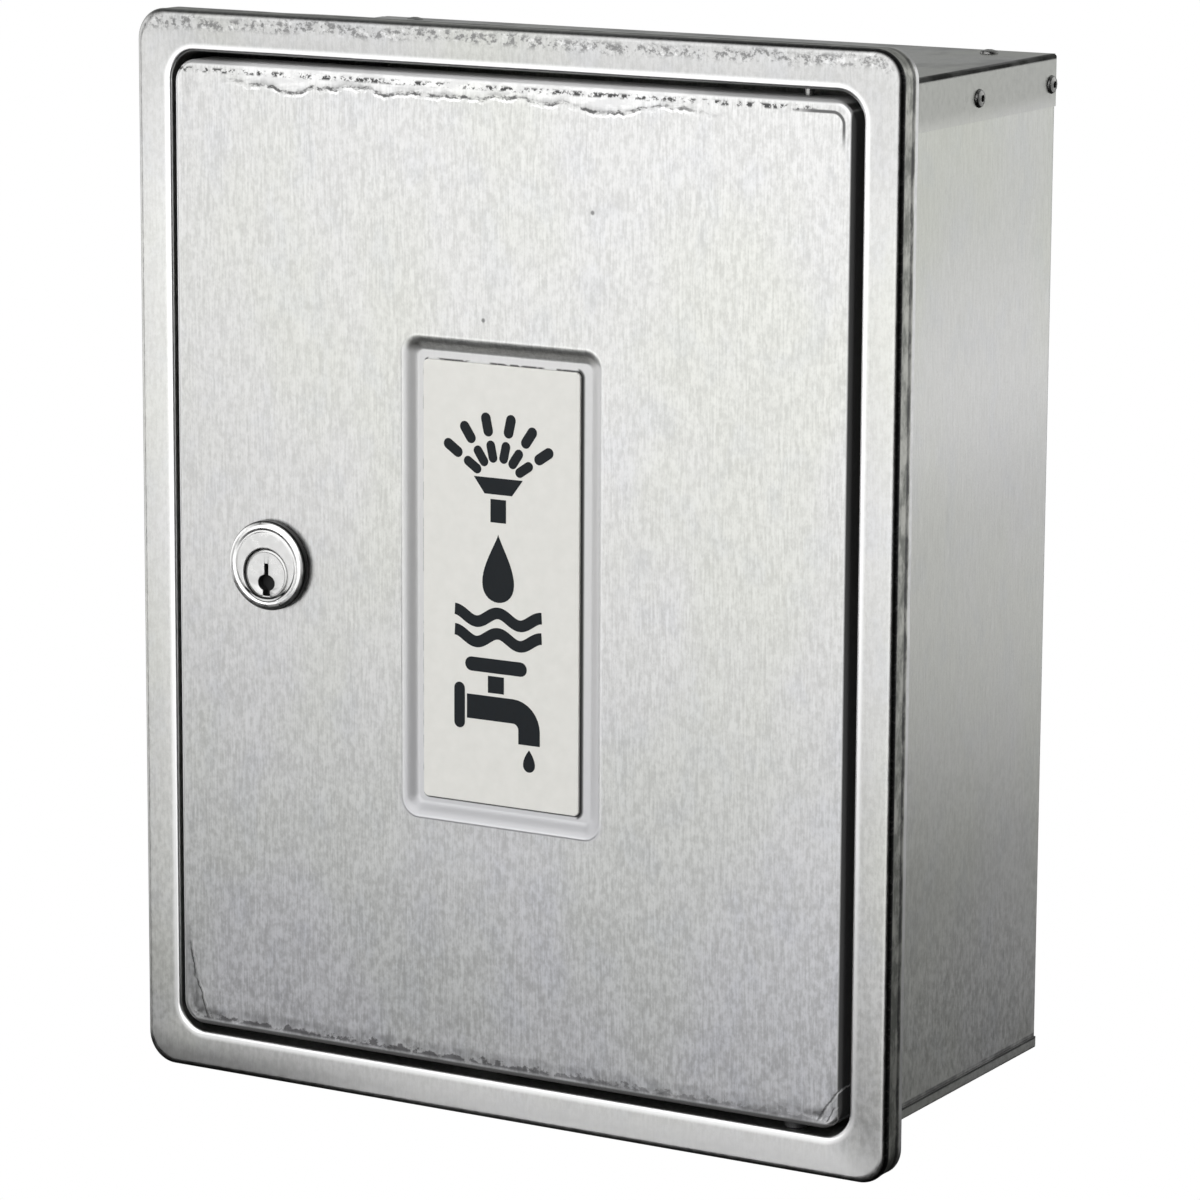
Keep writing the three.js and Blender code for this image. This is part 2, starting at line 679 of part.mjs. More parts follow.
function tapSpindle() {
  const profile = [
    [1.9, 14.5], [5.5, 14.5], [6.2, 15.2], [6.2, 19.6], [3.25, 20], [3.25, 46], [0, 46], [0, 20],
    [1.9, 19], [1.9, 14.5],
  ];
  const stem = turned(profile, along.up, 0, tap.y, tap.z);
  const square = block([-2.2, 2.2], [tap.y - 2.2, tap.y + 2.2], [tap.z + 45, tap.z + 53]);
  const screwHole = bar(1.3, 9, along.down, 0, tap.y, tap.z + 54, 12);
  return cut(joined(stem, square), screwHole);
}

function tapHandle() {
  const hub = turned([
    [0, 46.3], [6, 46.3], [7.5, 48], [7.5, 53], [6.5, 54], [0, 54],
  ], along.up, 0, tap.y, tap.z);
  const reach = 25;
  const level = tap.z + 50.4;
  const arms = [along.left, along.right, along.forward, along.back].flatMap((direction) => {
    const arm = new THREE.CylinderGeometry(2.8, 3.6, reach, 10).translate(0, reach / 2, 0);
    const knob = new THREE.SphereGeometry(4.6, 10, 6).translate(0, reach, 0);
    return [placed(arm, direction, 0, tap.y, level), placed(knob, direction, 0, tap.y, level)];
  });
  const squareHole = block([-2.45, 2.45], [tap.y - 2.45, tap.y + 2.45], [tap.z + 40, tap.z + 60]);
  return cut(joined(hub, ...arms), squareHole);
}

function handleScrew() {
  const profile = [
    [0, 47], [1.15, 47], [1.15, 54.1], [4.6, 54.1], [4.4, 55.4], [3.2, 56.4], [0, 56.8],
  ];
  return turned(profile, along.up, 0, tap.y, tap.z, 16);
}

// The loose valve: a disc on a stem that sits in the spindle's foot. It rises without turning.
function valveJumper() {
  const profile = [[0, 8.9], [5.9, 8.9], [5.9, 11], [1.6, 11.4], [1.6, 18], [0, 18.4]];
  return turned(profile, along.up, 0, tap.y, tap.z, 16);
}

function jumperWasher() {
  return turned([[0, 6.1], [6, 6.1], [6, 8.7], [0, 8.7]], along.up, 0, tap.y, tap.z, 20);
}

// ---------------------------------------------------------------- hose connection

const collar = { radius: 9, top: 1.6, bottom: 3.7 }; // the nipple's, held by the nut's lip
const nipple = { bore: 4, neck: 6.1, barb: 6.8, root: 5.8, pitch: 5, length: 30 };

function spoutGasket() {
  return turned(ring(nipple.bore + 0.6, collar.radius, 1.3), along.down, 0, outlet.y, outlet.z - 0.1);
}

// The union nut: it grips the spout's pad above and the nipple's collar below.
function spoutNut() {
  const above = 5;
  const below = collar.bottom + 0.3;
  const height = above + below + 0.1;
  const grip = hexNut(25, collar.radius + 0.7, height, along.down, 0, outlet.y, outlet.z + above);
  const lip = turned(ring(nipple.neck + 0.3, 10.8, 1.6), along.down, 0, outlet.y, outlet.z - below);
  return joined(grip, lip);
}

// A tail with saw-tooth barbs for a rubber hose.
function hoseNipple() {
  const { bore, neck, barb, root, pitch, length } = nipple;
  const barbs = [0, 1, 2, 3].flatMap((i) => [[barb, 8.5 + i * pitch], [root, 12.5 + i * pitch]]);
  const profile = [
    [bore, collar.top], [collar.radius, collar.top], [collar.radius, collar.bottom],
    [neck, collar.bottom], [neck, 7.5], ...barbs, [root, length], [bore, length], [bore, collar.top],
  ];
  return turned(profile, along.down, 0, outlet.y, outlet.z);
}

// ---------------------------------------------------------------- assembly

const cabinet = new THREE.Group();

cabinet.add(
  piece('box_shell', boxShell(), 'brushedSteel'),
  piece('top_plate', topPlate(), 'brushedSteel'),
  piece('bottom_plate', bottomPlate(), 'brushedSteel'),
  piece('front_frame', frontFrame(), 'brushedSteel'),
  ...rivets(),
  piece('door_stop_strip', doorStopStrip(), 'brushedSteel'),
  piece('door_buffer_upper', doorBuffer(1), 'rubber'),
  piece('door_buffer_lower', doorBuffer(-1), 'rubber'),
  piece('upper_hinge_pin', hingePin(1, along.up), 'platedSteel'),
  piece('lower_hinge_pin', hingePin(-1, along.down), 'platedSteel'),
  piece('hinge_washer', hingeWasher(), 'nylon'),
);

cabinet.add(
  piece('door_panel', doorPanel(), 'brushedSteel'),
  piece('label_plate', labelPlate(), 'labelPlate'),
  piece('upper_hinge_bracket', hingeBracket(1), 'brushedSteel'),
  piece('lower_hinge_bracket', hingeBracket(-1), 'brushedSteel'),
  piece('upper_hinge_bush', hingeBush(along.up), 'nylon'),
  piece('lower_hinge_bush', hingeBush(along.down), 'nylon'),
);

cabinet.add(
  piece('lock_body', lockBody(), 'chrome'),
  piece('lock_gasket', lockGasket(), 'rubber'),
  piece('lock_washer', lockWasher(), 'platedSteel'),
  piece('lock_nut', lockNut(), 'platedSteel'),
  piece('lock_plug', lockPlug(), 'chrome'),
  piece('lock_cam', lockCam(), 'platedSteel'),
  piece('cam_screw', camScrew(), 'platedSteel'),
);

cabinet.add(
  piece('pipe_grommet', pipeGrommet(), 'rubber'),
  piece('wall_flange', wallFlange(), 'chrome'),
  piece('tap_body', tapBody(), 'brass'),
  piece('tap_bonnet', tapBonnet(), 'brass'),
  piece('gland_packing', glandPacking(), 'rubber'),
  piece('gland_nut', glandNut(), 'brass'),
  piece('tap_spindle', tapSpindle(), 'brass'),
  piece('tap_handle', tapHandle(), 'chrome'),
  piece('handle_screw', handleScrew(), 'platedSteel'),
  piece('valve_jumper', valveJumper(), 'brass'),
  piece('jumper_washer', jumperWasher(), 'rubber'),
  piece('spout_gasket', spoutGasket(), 'rubber'),
  piece('spout_nut', spoutNut(), 'brass'),
  piece('hose_nipple', hoseNipple(), 'brass'),
);

export default cabinet;
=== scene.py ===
import math

import bmesh
import bpy
from mathutils import Matrix, Vector, noise

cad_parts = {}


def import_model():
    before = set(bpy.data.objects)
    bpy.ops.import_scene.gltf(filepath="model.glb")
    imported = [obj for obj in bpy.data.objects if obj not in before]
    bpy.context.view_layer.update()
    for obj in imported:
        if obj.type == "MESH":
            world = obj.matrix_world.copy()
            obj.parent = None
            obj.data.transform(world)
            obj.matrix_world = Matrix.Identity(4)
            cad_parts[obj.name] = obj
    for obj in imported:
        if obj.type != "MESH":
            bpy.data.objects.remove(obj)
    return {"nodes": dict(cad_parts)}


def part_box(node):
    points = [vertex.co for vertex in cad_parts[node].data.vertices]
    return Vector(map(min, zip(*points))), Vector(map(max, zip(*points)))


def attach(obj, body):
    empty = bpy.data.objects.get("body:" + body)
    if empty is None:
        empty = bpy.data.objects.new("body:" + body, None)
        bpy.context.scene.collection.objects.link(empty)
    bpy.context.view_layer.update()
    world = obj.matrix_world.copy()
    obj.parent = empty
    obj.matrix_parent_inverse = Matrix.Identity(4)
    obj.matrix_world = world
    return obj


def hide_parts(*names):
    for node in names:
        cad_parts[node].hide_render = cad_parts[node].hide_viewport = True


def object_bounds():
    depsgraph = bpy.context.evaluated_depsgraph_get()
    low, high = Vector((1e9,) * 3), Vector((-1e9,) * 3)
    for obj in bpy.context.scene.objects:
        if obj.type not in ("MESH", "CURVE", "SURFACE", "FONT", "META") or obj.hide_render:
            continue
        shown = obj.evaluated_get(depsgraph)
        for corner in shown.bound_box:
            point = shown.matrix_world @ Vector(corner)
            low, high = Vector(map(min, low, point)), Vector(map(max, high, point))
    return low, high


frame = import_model()
cad_low, cad_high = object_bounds()

MM = 0.001

# ---- places taken from the frame

door_low, door_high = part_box("door_panel")
border_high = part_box("front_frame")[1]
label_low, label_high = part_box("label_plate")
lock_low, lock_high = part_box("lock_body")
plug_low, plug_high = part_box("lock_plug")

box_low, box_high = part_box("box_shell")
top_low, top_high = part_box("top_plate")
bottom_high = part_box("bottom_plate")[1]

FRONT = door_low.y
DOOR_LEFT, DOOR_RIGHT, DOOR_Z = door_low.x, door_high.x, door_high.z
DOOR_MIDDLE = (DOOR_LEFT + DOOR_RIGHT) / 2
DOOR_HALF = (DOOR_RIGHT - DOOR_LEFT) / 2
DOOR_REAR = door_high.y
BORDER_X, BORDER_Z = border_high.x, border_high.z
LABEL_CENTRE = (label_low + label_high) / 2
LOCK = Vector(((lock_low.x + lock_high.x) / 2, FRONT, (lock_low.z + lock_high.z) / 2))
PLUG = Vector(((plug_low.x + plug_high.x) / 2, plug_low.y, (plug_low.z + plug_high.z) / 2))

# ---- sizes of the pressed sheets

SHEET = 0.6 * MM
DOOR_SHEET = 1.0 * MM
BORDER = 12 * MM
BORDER_RETURN = 10 * MM
BORDER_CORNER = 9 * MM
OPENING_CORNER = 8.5 * MM
DOOR_CORNER = 7 * MM
BORDER_EDGE = 2 * MM  # bend radius of the border's outer edge
DOOR_EDGE = 1.2 * MM
FIELD_CENTRE = (-0.8 * MM, -0.5 * MM)
FIELD = Vector((33.9 * MM, 71.65 * MM))  # half size of the sunken field
FIELD_CORNER = 6 * MM
FIELD_SLOPE = 5.2 * MM
FIELD_DEPTH = 2.4 * MM
SHOULDER = 1.6 * MM  # width of the soft sag around the field
LABEL_CORNER = 1.6 * MM
OPENING_X = BORDER_X - BORDER
OPENING_Z = BORDER_Z - BORDER
BAND_EDGE = top_low.z  # lower edge of the top plate's side bands
SILL_EDGE = bottom_high.z  # upper edge of the bottom plate's side bands

DOOR_SPECKS = ((-6.7 * MM, 76.4 * MM), (29.2 * MM, 109.6 * MM))
LOWER_CREASES = (  # side, then start, end and half width in mm from the corner
    (DOOR_RIGHT, (-0.5, 13), (-8, 1.5), 0.08),
    (DOOR_RIGHT, (-1.5, 7), (-5, 1.5), 0.06),
    (DOOR_LEFT, (3, 26), (4.5, 14), 0.10),
    (DOOR_LEFT, (4.5, 15), (9.5, 1.5), 0.10),
)

# ---- meshes


def rounded_loop(half_x, half_z, radius, y, centre=(0, 0), steps=(12, 60, 80)):
    """A rounded rectangle at depth y. The steps are those of a corner, a level side and an upright side."""
    corner_steps, level_steps, upright_steps = steps
    sides = [(1, 1, -1, 0), (-1, 1, 0, -1), (-1, -1, 1, 0), (1, -1, 0, 1)]
    points = []
    for quarter, (side_x, side_z, run_x, run_z) in enumerate(sides):
        middle = Vector((centre[0] + side_x * (half_x - radius), y, centre[1] + side_z * (half_z - radius)))
        for i in range(corner_steps + 1):
            angle = (quarter + i / corner_steps) * math.pi / 2
            points.append(middle + radius * Vector((math.cos(angle), 0, math.sin(angle))))
        length = 2 * (half_x - radius) if run_x else 2 * (half_z - radius)
        side_steps = level_steps if run_x else upright_steps
        start = points[-1]
        for i in range(1, side_steps):
            points.append(start + Vector((run_x, 0, run_z)) * length * i / side_steps)
    return points


def loft(loops, ring=False):
    """Skin over loops of as many points each. A ring joins the last to the first, else both ends close."""
    count = len(loops[0])
    points = [point for loop in loops for point in loop]
    faces = []
    for i in range(len(loops) if ring else len(loops) - 1):
        near = i * count
        far = (i + 1) % len(loops) * count
        for j in range(count):
            k = (j + 1) % count
            faces.append((near + j, near + k, far + k, far + j))
    if not ring:
        faces.append(tuple(range(count)))
        faces.append(tuple(range(len(points) - count, len(points))))
    return points, faces


def arc(centre, radius, from_degrees, to_degrees, steps):
    """Round stretch of a section, as pairs."""
    turns = [math.radians(from_degrees + (to_degrees - from_degrees) * i / steps) for i in range(steps + 1)]
    return [(centre[0] + radius * math.cos(turn), centre[1] + radius * math.sin(turn)) for turn in turns]


def softened(outline, radius, steps=3, ring=True):
    """The outline with its corners rounded, as far as its stretches leave room."""
    points = [Vector(pair) for pair in outline]
    soft = []
    for i, here in enumerate(points):
        if not ring and i in (0, len(points) - 1):
            soft.append(here)
            continue
        before = points[i - 1] - here
        after = points[(i + 1) % len(points)] - here
        corner = before.angle(after)
        if corner > math.radians(165):
            soft.append(here)
            continue
        reach = min(radius / math.tan(corner / 2), 0.45 * before.length, 0.45 * after.length)
        start = here + before.normalized() * reach
        end = here + after.normalized() * reach
        for step in range(steps + 1):
            t = step / steps
            soft.append(start * (1 - t) ** 2 + here * 2 * t * (1 - t) + end * t**2)
    return soft


def bare_object(name, parts, sharp=35):
    """An object from (points, faces) parts, smooth but for edges over the sharp angle."""
    mesh = bpy.data.meshes.new(name)
    shape = bmesh.new()
    for points, faces in parts:
        made = [shape.verts.new(point) for point in points]
        for face in faces:
            shape.faces.new([made[i] for i in face])
    bmesh.ops.recalc_face_normals(shape, faces=shape.faces)
    shape.to_mesh(mesh)
    shape.free()
    mesh.polygons.foreach_set("use_smooth", [True] * len(mesh.polygons))
    mesh.set_sharp_from_angle(angle=math.radians(sharp))
    made = bpy.data.objects.new(name, mesh)
    bpy.context.scene.collection.objects.link(made)
    return made


def keep_flat(piece):
    """Large flat faces keep their own normals, so that bevels beside them catch the light cleanly."""
    weighted = piece.modifiers.new("weighted_normals", "WEIGHTED_NORMAL")
    weighted.keep_sharp = True


def dressed(piece, finish, body, nodes=()):
    """Gives a new piece the material of its finish (a material and the record's slot for it) and its body.
    The nodes are those that it stands for."""
    material, slot = finish
    piece.data.materials.append(material)
    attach(piece, body)
    if nodes:
        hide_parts(*nodes)
    return piece


def make(name, parts, finish, body, nodes=(), sharp=35):
    piece = bare_object(name, parts, sharp)
    keep_flat(piece)
    return dressed(piece, finish, body, nodes)


# ---- shader nodes


class Value:
    """What a shader node gives out: a number or colour that varies over a surface, or a shader."""

    def __init__(self, tree, socket):
        self.tree = tree
        self.socket = socket

    def __add__(self, other):
        return reckoned("ADD", self, other)

    def __sub__(self, other):
        return reckoned("SUBTRACT", self, other)

    def __rsub__(self, other):
        return reckoned("SUBTRACT", other, self)

    def __mul__(self, other):
        return reckoned("MULTIPLY", self, other)

    def __rmul__(self, other):
        return reckoned("MULTIPLY", other, self)

    def __abs__(self):
        return reckoned("ABSOLUTE", self, 0.0)


def node(tree, kind, inputs=None, **settings):
    """A shader node. An input is a constant, or the Value that feeds it."""
    made = tree.nodes.new(kind)
    for key, setting in settings.items():
        setattr(made, key, setting)
    for key, fed in (inputs or {}).items():
        if isinstance(fed, Value):
            tree.links.new(fed.socket, made.inputs[key])
        else:
            made.inputs[key].default_value = fed
    return made


def given(tree, kind, inputs=None, output=0, **settings):
    """One output of a new shader node."""
    return Value(tree, node(tree, kind, inputs, **settings).outputs[output])


def reckoned(operation, first, second):
    """Arithmetic on two numbers, of which one may be a constant."""
    tree = first.tree if isinstance(first, Value) else second.tree
    return given(tree, "ShaderNodeMath", {0: first, 1: second}, operation=operation)


def split(place):
    """The x, y and z of a vector."""
    parts = node(place.tree, "ShaderNodeSeparateXYZ", {"Vector": place}).outputs
    return [Value(place.tree, part) for part in parts]


def spread(value, low, high, to_low, to_high):
    """A value's range mapped to another, smoothly and clamped."""
    return given(value.tree, "ShaderNodeMapRange", {
        "Value": value, "From Min": low, "From Max": high, "To Min": to_low, "To Max": to_high,
    }, interpolation_type="SMOOTHSTEP")


def rising(value, low, high, top=1.0):
    """A mask that rises from nought as the value goes from low to high."""
    return spread(value, low, high, 0.0, top)


def falling(value, low, high, top=1.0):
    """A mask that falls to nought as the value goes from low to high."""
    return spread(value, low, high, top, 0.0)


def near_nought(distance, half_width, soft):
    """A mask that is 1 along the line where the distance is nought, with soft edges."""
    return falling(abs(distance), half_width, half_width + soft)


def slant(across, up):
    """Length of the slanting line with these two runs."""
    return reckoned("SQRT", across * across + up * up, 0.0)


def blended(factor, first, second, mode="MIX"):
    """Two colours mixed."""
    inputs = {"Fac": factor, "Color1": first, "Color2": second}
    return given(factor.tree, "ShaderNodeMixRGB", inputs, blend_type=mode)


def inward(axes, half_x, half_z, corner, centre=(0, 0)):
    """How far inside a rounded rectangle's outline a point lies."""
    over = [
        abs(axis - middle) - (half - corner)
        for axis, half, middle in ((axes[0], half_x, centre[0]), (axes[2], half_z, centre[1]))
    ]
    reach = slant(*[reckoned("MAXIMUM", off, 0.0) for off in over])
    beneath = reckoned("MINIMUM", reckoned("MAXIMUM", *over), 0.0)
    return corner - (reach + beneath)


# ---- materials


def grey(shade, tint=(1, 1, 1)):
    """A grey as a colour, tinted a little or not at all."""
    return (shade * tint[0], shade * tint[1], shade * tint[2], 1)


class Surface:
    """A material on the way: a Principled shader with its constants on its own sockets."""

    def __init__(self, name, **constants):
        self.material = bpy.data.materials.new(name)
        self.material.use_nodes = True
        self.tree = self.material.node_tree
        self.tree.nodes.clear()
        self.shader = node(self.tree, "ShaderNodeBsdfPrincipled")
        for key, constant in constants.items():
            self.shader.inputs[key.replace("_", " ")].default_value = constant
        shading = Value(self.tree, self.shader.outputs["BSDF"])
        node(self.tree, "ShaderNodeOutputMaterial", {"Surface": shading})
        self.place = given(self.tree, "ShaderNodeTexCoord", output="Object")
        self.axes = split(self.place)

    def pattern(self, cells, detail=3.0, roughness=0.55, offset=(0, 0, 0)):
        """Noise from 0 to 1 with so many cells a metre, the same along all axes or given for each."""
        each_axis = cells if isinstance(cells, tuple) else (cells, cells, cells)
        inputs = {"Vector": self.place, "Scale": each_axis, "Location": offset}
        scaled = given(self.tree, "ShaderNodeMapping", inputs)
        return given(self.tree, "ShaderNodeTexNoise", {
            "Vector": scaled, "Scale": 1.0, "Detail": detail, "Roughness": roughness,
        })

    def feed(self, key, value):
        self.tree.links.new(value.socket, self.shader.inputs[key])

    def finish(self, slot, colour, rough, height, depth, strength=1.0):
        """Feeds the shader, with a bump so deep, and gives the material and its slot in the record."""
        bump = given(self.tree, "ShaderNodeBump", {"Height": height, "Distance": depth, "Strength": strength})
        for key, value in (("Base Color", colour), ("Roughness", rough), ("Normal", bump)):
            self.feed(key, value)
        return self.material, slot


class SheetSteel(Surface):
    """Stainless sheet: fine upright grain, mottled, a little greener and yellower in patches.
    Marks are painted over it one by one, and then the shader is closed."""

    def __init__(self, name, grain_share=0.5, low=0.535, high=0.70):
        super().__init__(name, Metallic=1.0)
        grain = self.pattern((1500, 1500, 110), 4.0, 0.6)
        mottle = self.pattern((620, 620, 420), 4.0, 0.65, (3, 1, 7))
        clouds = self.pattern((16, 16, 9), 3.0, 0.5, (5, 5, 5))
        patches = self.pattern((85, 85, 60), 3.0, 0.5, (8, 3, 2))
        self.texture = grain * grain_share + mottle * (1 - grain_share)
        shade = rising(self.texture, 0.36, 0.64)
        self.colour = blended(shade, grey(low, (1, 1, 0.985)), grey(high, (1, 1, 0.992)))
        self.dim(rising(clouds, 0.42, 0.62), 1.0, (0.985, 0.992, 0.955))
        self.dim(rising(patches, 0.5, 0.68), 1.0, (0.975, 0.98, 0.995))
        self.rough = spread(mottle, 0.3, 0.7, 0.31, 0.40)
        self.metal_share = 1.0
        self.marked_side = 1.0

    def mark_front_only(self):
        """Later marks stay off the faces that look back at the wall."""
        backward = split(given(self.tree, "ShaderNodeTexCoord", output="Normal"))[1]
        self.marked_side = falling(backward, 0.05, 0.3)

    def cover(self, mask, colour, mode="MIX"):
        self.colour = blended(mask, self.colour, colour, mode)

    def paint(self, mask, shade, tint=(1, 1, 1)):
        """Covers the masked area with a grey."""
        self.cover(mask * self.marked_side, grey(shade, tint))

    def dim(self, mask, share, tint=(1, 1, 1)):
        """Darkens the masked area to the given share and keeps its pattern."""
        self.cover(mask, grey(share, tint), "MULTIPLY")

    # A painted highlight: covers the masked area with a light grey and moves its roughness towards the given
    # one.
    def paint_highlight(self, mask, shade, rough):
        self.paint(mask, shade)
        self.rough = given(self.tree, "ShaderNodeMapRange", {
            "Value": mask, "From Min": 0.0, "From Max": 1.0, "To Min": self.rough, "To Max": rough,
        })

    def dull_with_painted_light(self, mask, shade, share=0.55):
        """Makes the masked area duller, and paints it paler as painted light."""
        self.paint(mask, shade)
        self.metal_share = self.metal_share * (1.0 - mask * self.marked_side * share)
        self.rough = reckoned("MAXIMUM", self.rough, mask * share)

    def paint_matt_shade(self, mask, shade=0.015):
        """Covers the masked area with a matt dark grey, as painted shade."""
        self.paint(mask, shade)
        matt = mask * self.marked_side
        self.metal_share = self.metal_share * (1.0 - matt)
        self.rough = reckoned("MAXIMUM", self.rough, matt * 0.9)

    def close(self):
        if isinstance(self.metal_share, Value):
            self.feed("Metallic", self.metal_share)
            self.feed("Specular IOR Level", self.metal_share * 0.5)
        return self.finish("brushed_sheet", self.colour, self.rough, self.texture, 0.011 * MM)


def plain_sheet():
    return SheetSteel("brushed_sheet").close()


def box_sheet():
    """The box: a broken dark line in the seam over the bottom plate's folded bands is painted shade, with
    some dirt. The side is painted darker towards its top and below its middle, as painted shade.
    """
    steel = SheetSteel("brushed_box", 0.35, 0.535, 0.675)
    x, _, z = steel.axes
    outside = rising(x, box_high.x - 0.4 * MM, box_high.x - 0.3 * MM)
    breaks = spread(steel.pattern(90, 3.0, 0.6, (2, 2, 9)), 0.35, 0.6, 0.25, 0.85)
    # Painted shade, with some dirt: a dark line in the seam.
    seam = near_nought(z - (SILL_EDGE + 0.4 * MM), 0.3 * MM, 0.5 * MM)
    steel.paint(seam * outside * breaks, 0.16)
    # Painted shade: the side darker and a little greener towards its top, and darker below its middle.
    steel.dim(rising(z, 0.4 * box_high.z, 0.8 * box_high.z), 0.87, (0.99, 1.0, 0.97))
    below_middle = falling(z, 0.1 * box_high.z, 0.4 * box_high.z)
    steel.dim(below_middle * rising(z, 0.85 * box_low.z, 0.5 * box_low.z), 0.84)
    return steel.close()


def cover_sheet():
    """Top and bottom plates: the folds are painted dark, as painted shade, and a dark line of painted shade
    and dirt runs along the bottom plate's bands.
    """
    steel = SheetSteel("brushed_cover", 0.35, 0.50, 0.62)
    x, _, z = steel.axes
    breaks = spread(steel.pattern(70, 3.0, 0.6, (4, 2, 1)), 0.3, 0.6, 0.8, 1.0)
    side = rising(x, top_high.x - 1.0 * MM, top_high.x - 0.4 * MM)
    band = spread(z, BAND_EDGE - 1 * MM, BAND_EDGE + 5 * MM, 0.35, 0.85)
    steel.paint(band * side, 0.335, (0.985, 1.0, 0.94))
    # Painted shade: a matt dark line along the top fold.
    fold = rising(z, top_high.z - 1.6 * MM, top_high.z - 0.9 * MM, 0.9)
    near_side = rising(x, top_high.x - 3.0 * MM, top_high.x - 1.5 * MM)
    steel.paint_matt_shade(fold * near_side * breaks)
    # Painted shade and dirt: a dark line along the upper edge of the bottom plate's bands.
    steel.paint(near_nought(z - SILL_EDGE, 0.5 * MM, 0.3 * MM) * breaks, 0.10)
    upper_face = rising(z, top_high.z - 0.3 * MM, top_high.z - 0.1 * MM)
    smudges = rising(steel.pattern((45, 30, 45), 4.0, 0.6, (6, 6, 1)), 0.42, 0.62, 0.6)
    steel.paint(upper_face * smudges, 0.26)
    return steel.close()


def shade_border_face(steel, on_face):
    """Painted light: a painted highlight by the opening and towards the lower right, and painted shade at its
    top, its bottom and its lower left.
    """
    x, _, z = steel.axes
    from_opening = inward(steel.axes, OPENING_X, OPENING_Z, OPENING_CORNER) * -1.0
    lower = falling(z, -BORDER_Z, BORDER * 1.2 - BORDER_Z) * on_face
    steel.paint(lower * rising(x, -0.9 * BORDER_X, 0.0, 0.85), 0.95)
    steel.paint(lower * falling(x, -BORDER_X, -0.1 * BORDER_X, 0.9), 0.22)
    steel.dim(rising(z, 0.6 * BORDER_Z, 0.95 * BORDER_Z), 0.84)
    steel.dim(falling(z, -0.95 * BORDER_Z, -0.6 * BORDER_Z), 0.84)
    steel.paint_highlight(falling(from_opening, 1.4 * MM, 2.8 * MM, 0.8) * on_face, 0.94, 0.3)


def stain_border_top(steel, from_outline, speckle):
    """Dark and light specks run along the top, a few millimetres inside the edge."""
    drift = spread(steel.pattern(45, 2.0, 0.5, (1, 1, 1)), 0.3, 0.7, 2.4 * MM, 4.6 * MM)
    upper = rising(steel.axes[2], BORDER_Z - 8 * MM, BORDER_Z - 4 * MM)
    band = near_nought(from_outline - drift, 0.8 * MM, 2.2 * MM)
    steel.paint(rising(speckle, 0.47, 0.60, 0.85) * band * upper, 0.17)
    light_specks = rising(steel.pattern((420, 420, 520), 3.0, 0.6, (1, 8, 3)), 0.56, 0.70, 0.4)
    steel.paint(light_specks * band * upper, 0.95)


def border_sheet():
    """The border: its outer bend is painted dark as painted shade, and its return is stained and crossed by a
    dark line of painted shadow.
    """
    steel = SheetSteel("brushed_border", 0.3, 0.56, 0.72)
    x, y, _ = steel.axes
    depth = y - FRONT
    from_outline = inward(steel.axes, BORDER_X, BORDER_Z, BORDER_CORNER)
    speckle = steel.pattern((520, 520, 620), 4.0, 0.7, (9, 2, 4))
    shade_border_face(steel, falling(depth, 0.8 * MM, 1.2 * MM))
    stain_border_top(steel, from_outline, speckle)
    # Painted shade round the outer bend, darkest on the right.
    bend = falling(from_outline, 0.5 * MM, 1.4 * MM)
    right_side = spread(x, 0.0, BORDER_X * 0.9, 0.55, 1.0)
    steel.paint(bend * right_side * spread(speckle, 0.3, 0.5, 0.8, 1.0), 0.05)
    past_bend = rising(depth, 1.7 * MM, 2.3 * MM)
    stains = rising(steel.pattern((160, 160, 90), 4.0, 0.7, (3, 3, 3)), 0.38, 0.62)
    outer = falling(from_outline, 0.3 * MM, 0.7 * MM)
    steel.cover(past_bend * outer, blended(stains, (0.16, 0.165, 0.15, 1), (0.42, 0.42, 0.39, 1)))
    # Painted shadow: a dark line along the return.
    gap_shadow = near_nought(depth - 7.0 * MM, 0.5 * MM, 0.5 * MM)
    steel.paint(gap_shadow * outer * spread(stains, 0.0, 1.0, 1.0, 0.6), 0.04)
    steel.paint(rising(depth, 8.1 * MM, 8.6 * MM) * outer, 0.62)
    return steel.close()


def mark_field(steel):
    """The field's slopes are duller and painted pale as painted light, but for the shaded top one. The bottom
    one is painted darker as painted shade, and a painted highlight line runs along it.
    """
    z = steel.axes[2]
    in_field = inward(steel.axes, FIELD.x + 0.5 * MM, FIELD.y + 0.5 * MM, FIELD_CORNER, FIELD_CENTRE)
    field_top = FIELD_CENTRE[1] + FIELD.y
    field_bottom = FIELD_CENTRE[1] - FIELD.y
    below_top_slope = spread(z, field_top - 6 * MM, field_top - 3 * MM, 1.0, 0.2)
    # Duller slopes, painted pale as painted light.
    steel.dull_with_painted_light(rising(in_field, 0.0, 2.0 * MM, 0.9) * below_top_slope, 0.72)
    # Painted shade on the bottom slope.
    bottom_slope = falling(z, field_bottom + 4.5 * MM, field_bottom + 6.5 * MM)
    steel.paint(bottom_slope * rising(in_field, 0.0, 1.0 * MM, 0.85), 0.62)
    # A painted highlight line along the bottom slope.
    first_line = near_nought(in_field - 1.3 * MM, 0.2 * MM, 0.5 * MM)
    steel.paint(bottom_slope * first_line * 0.5, 0.72)


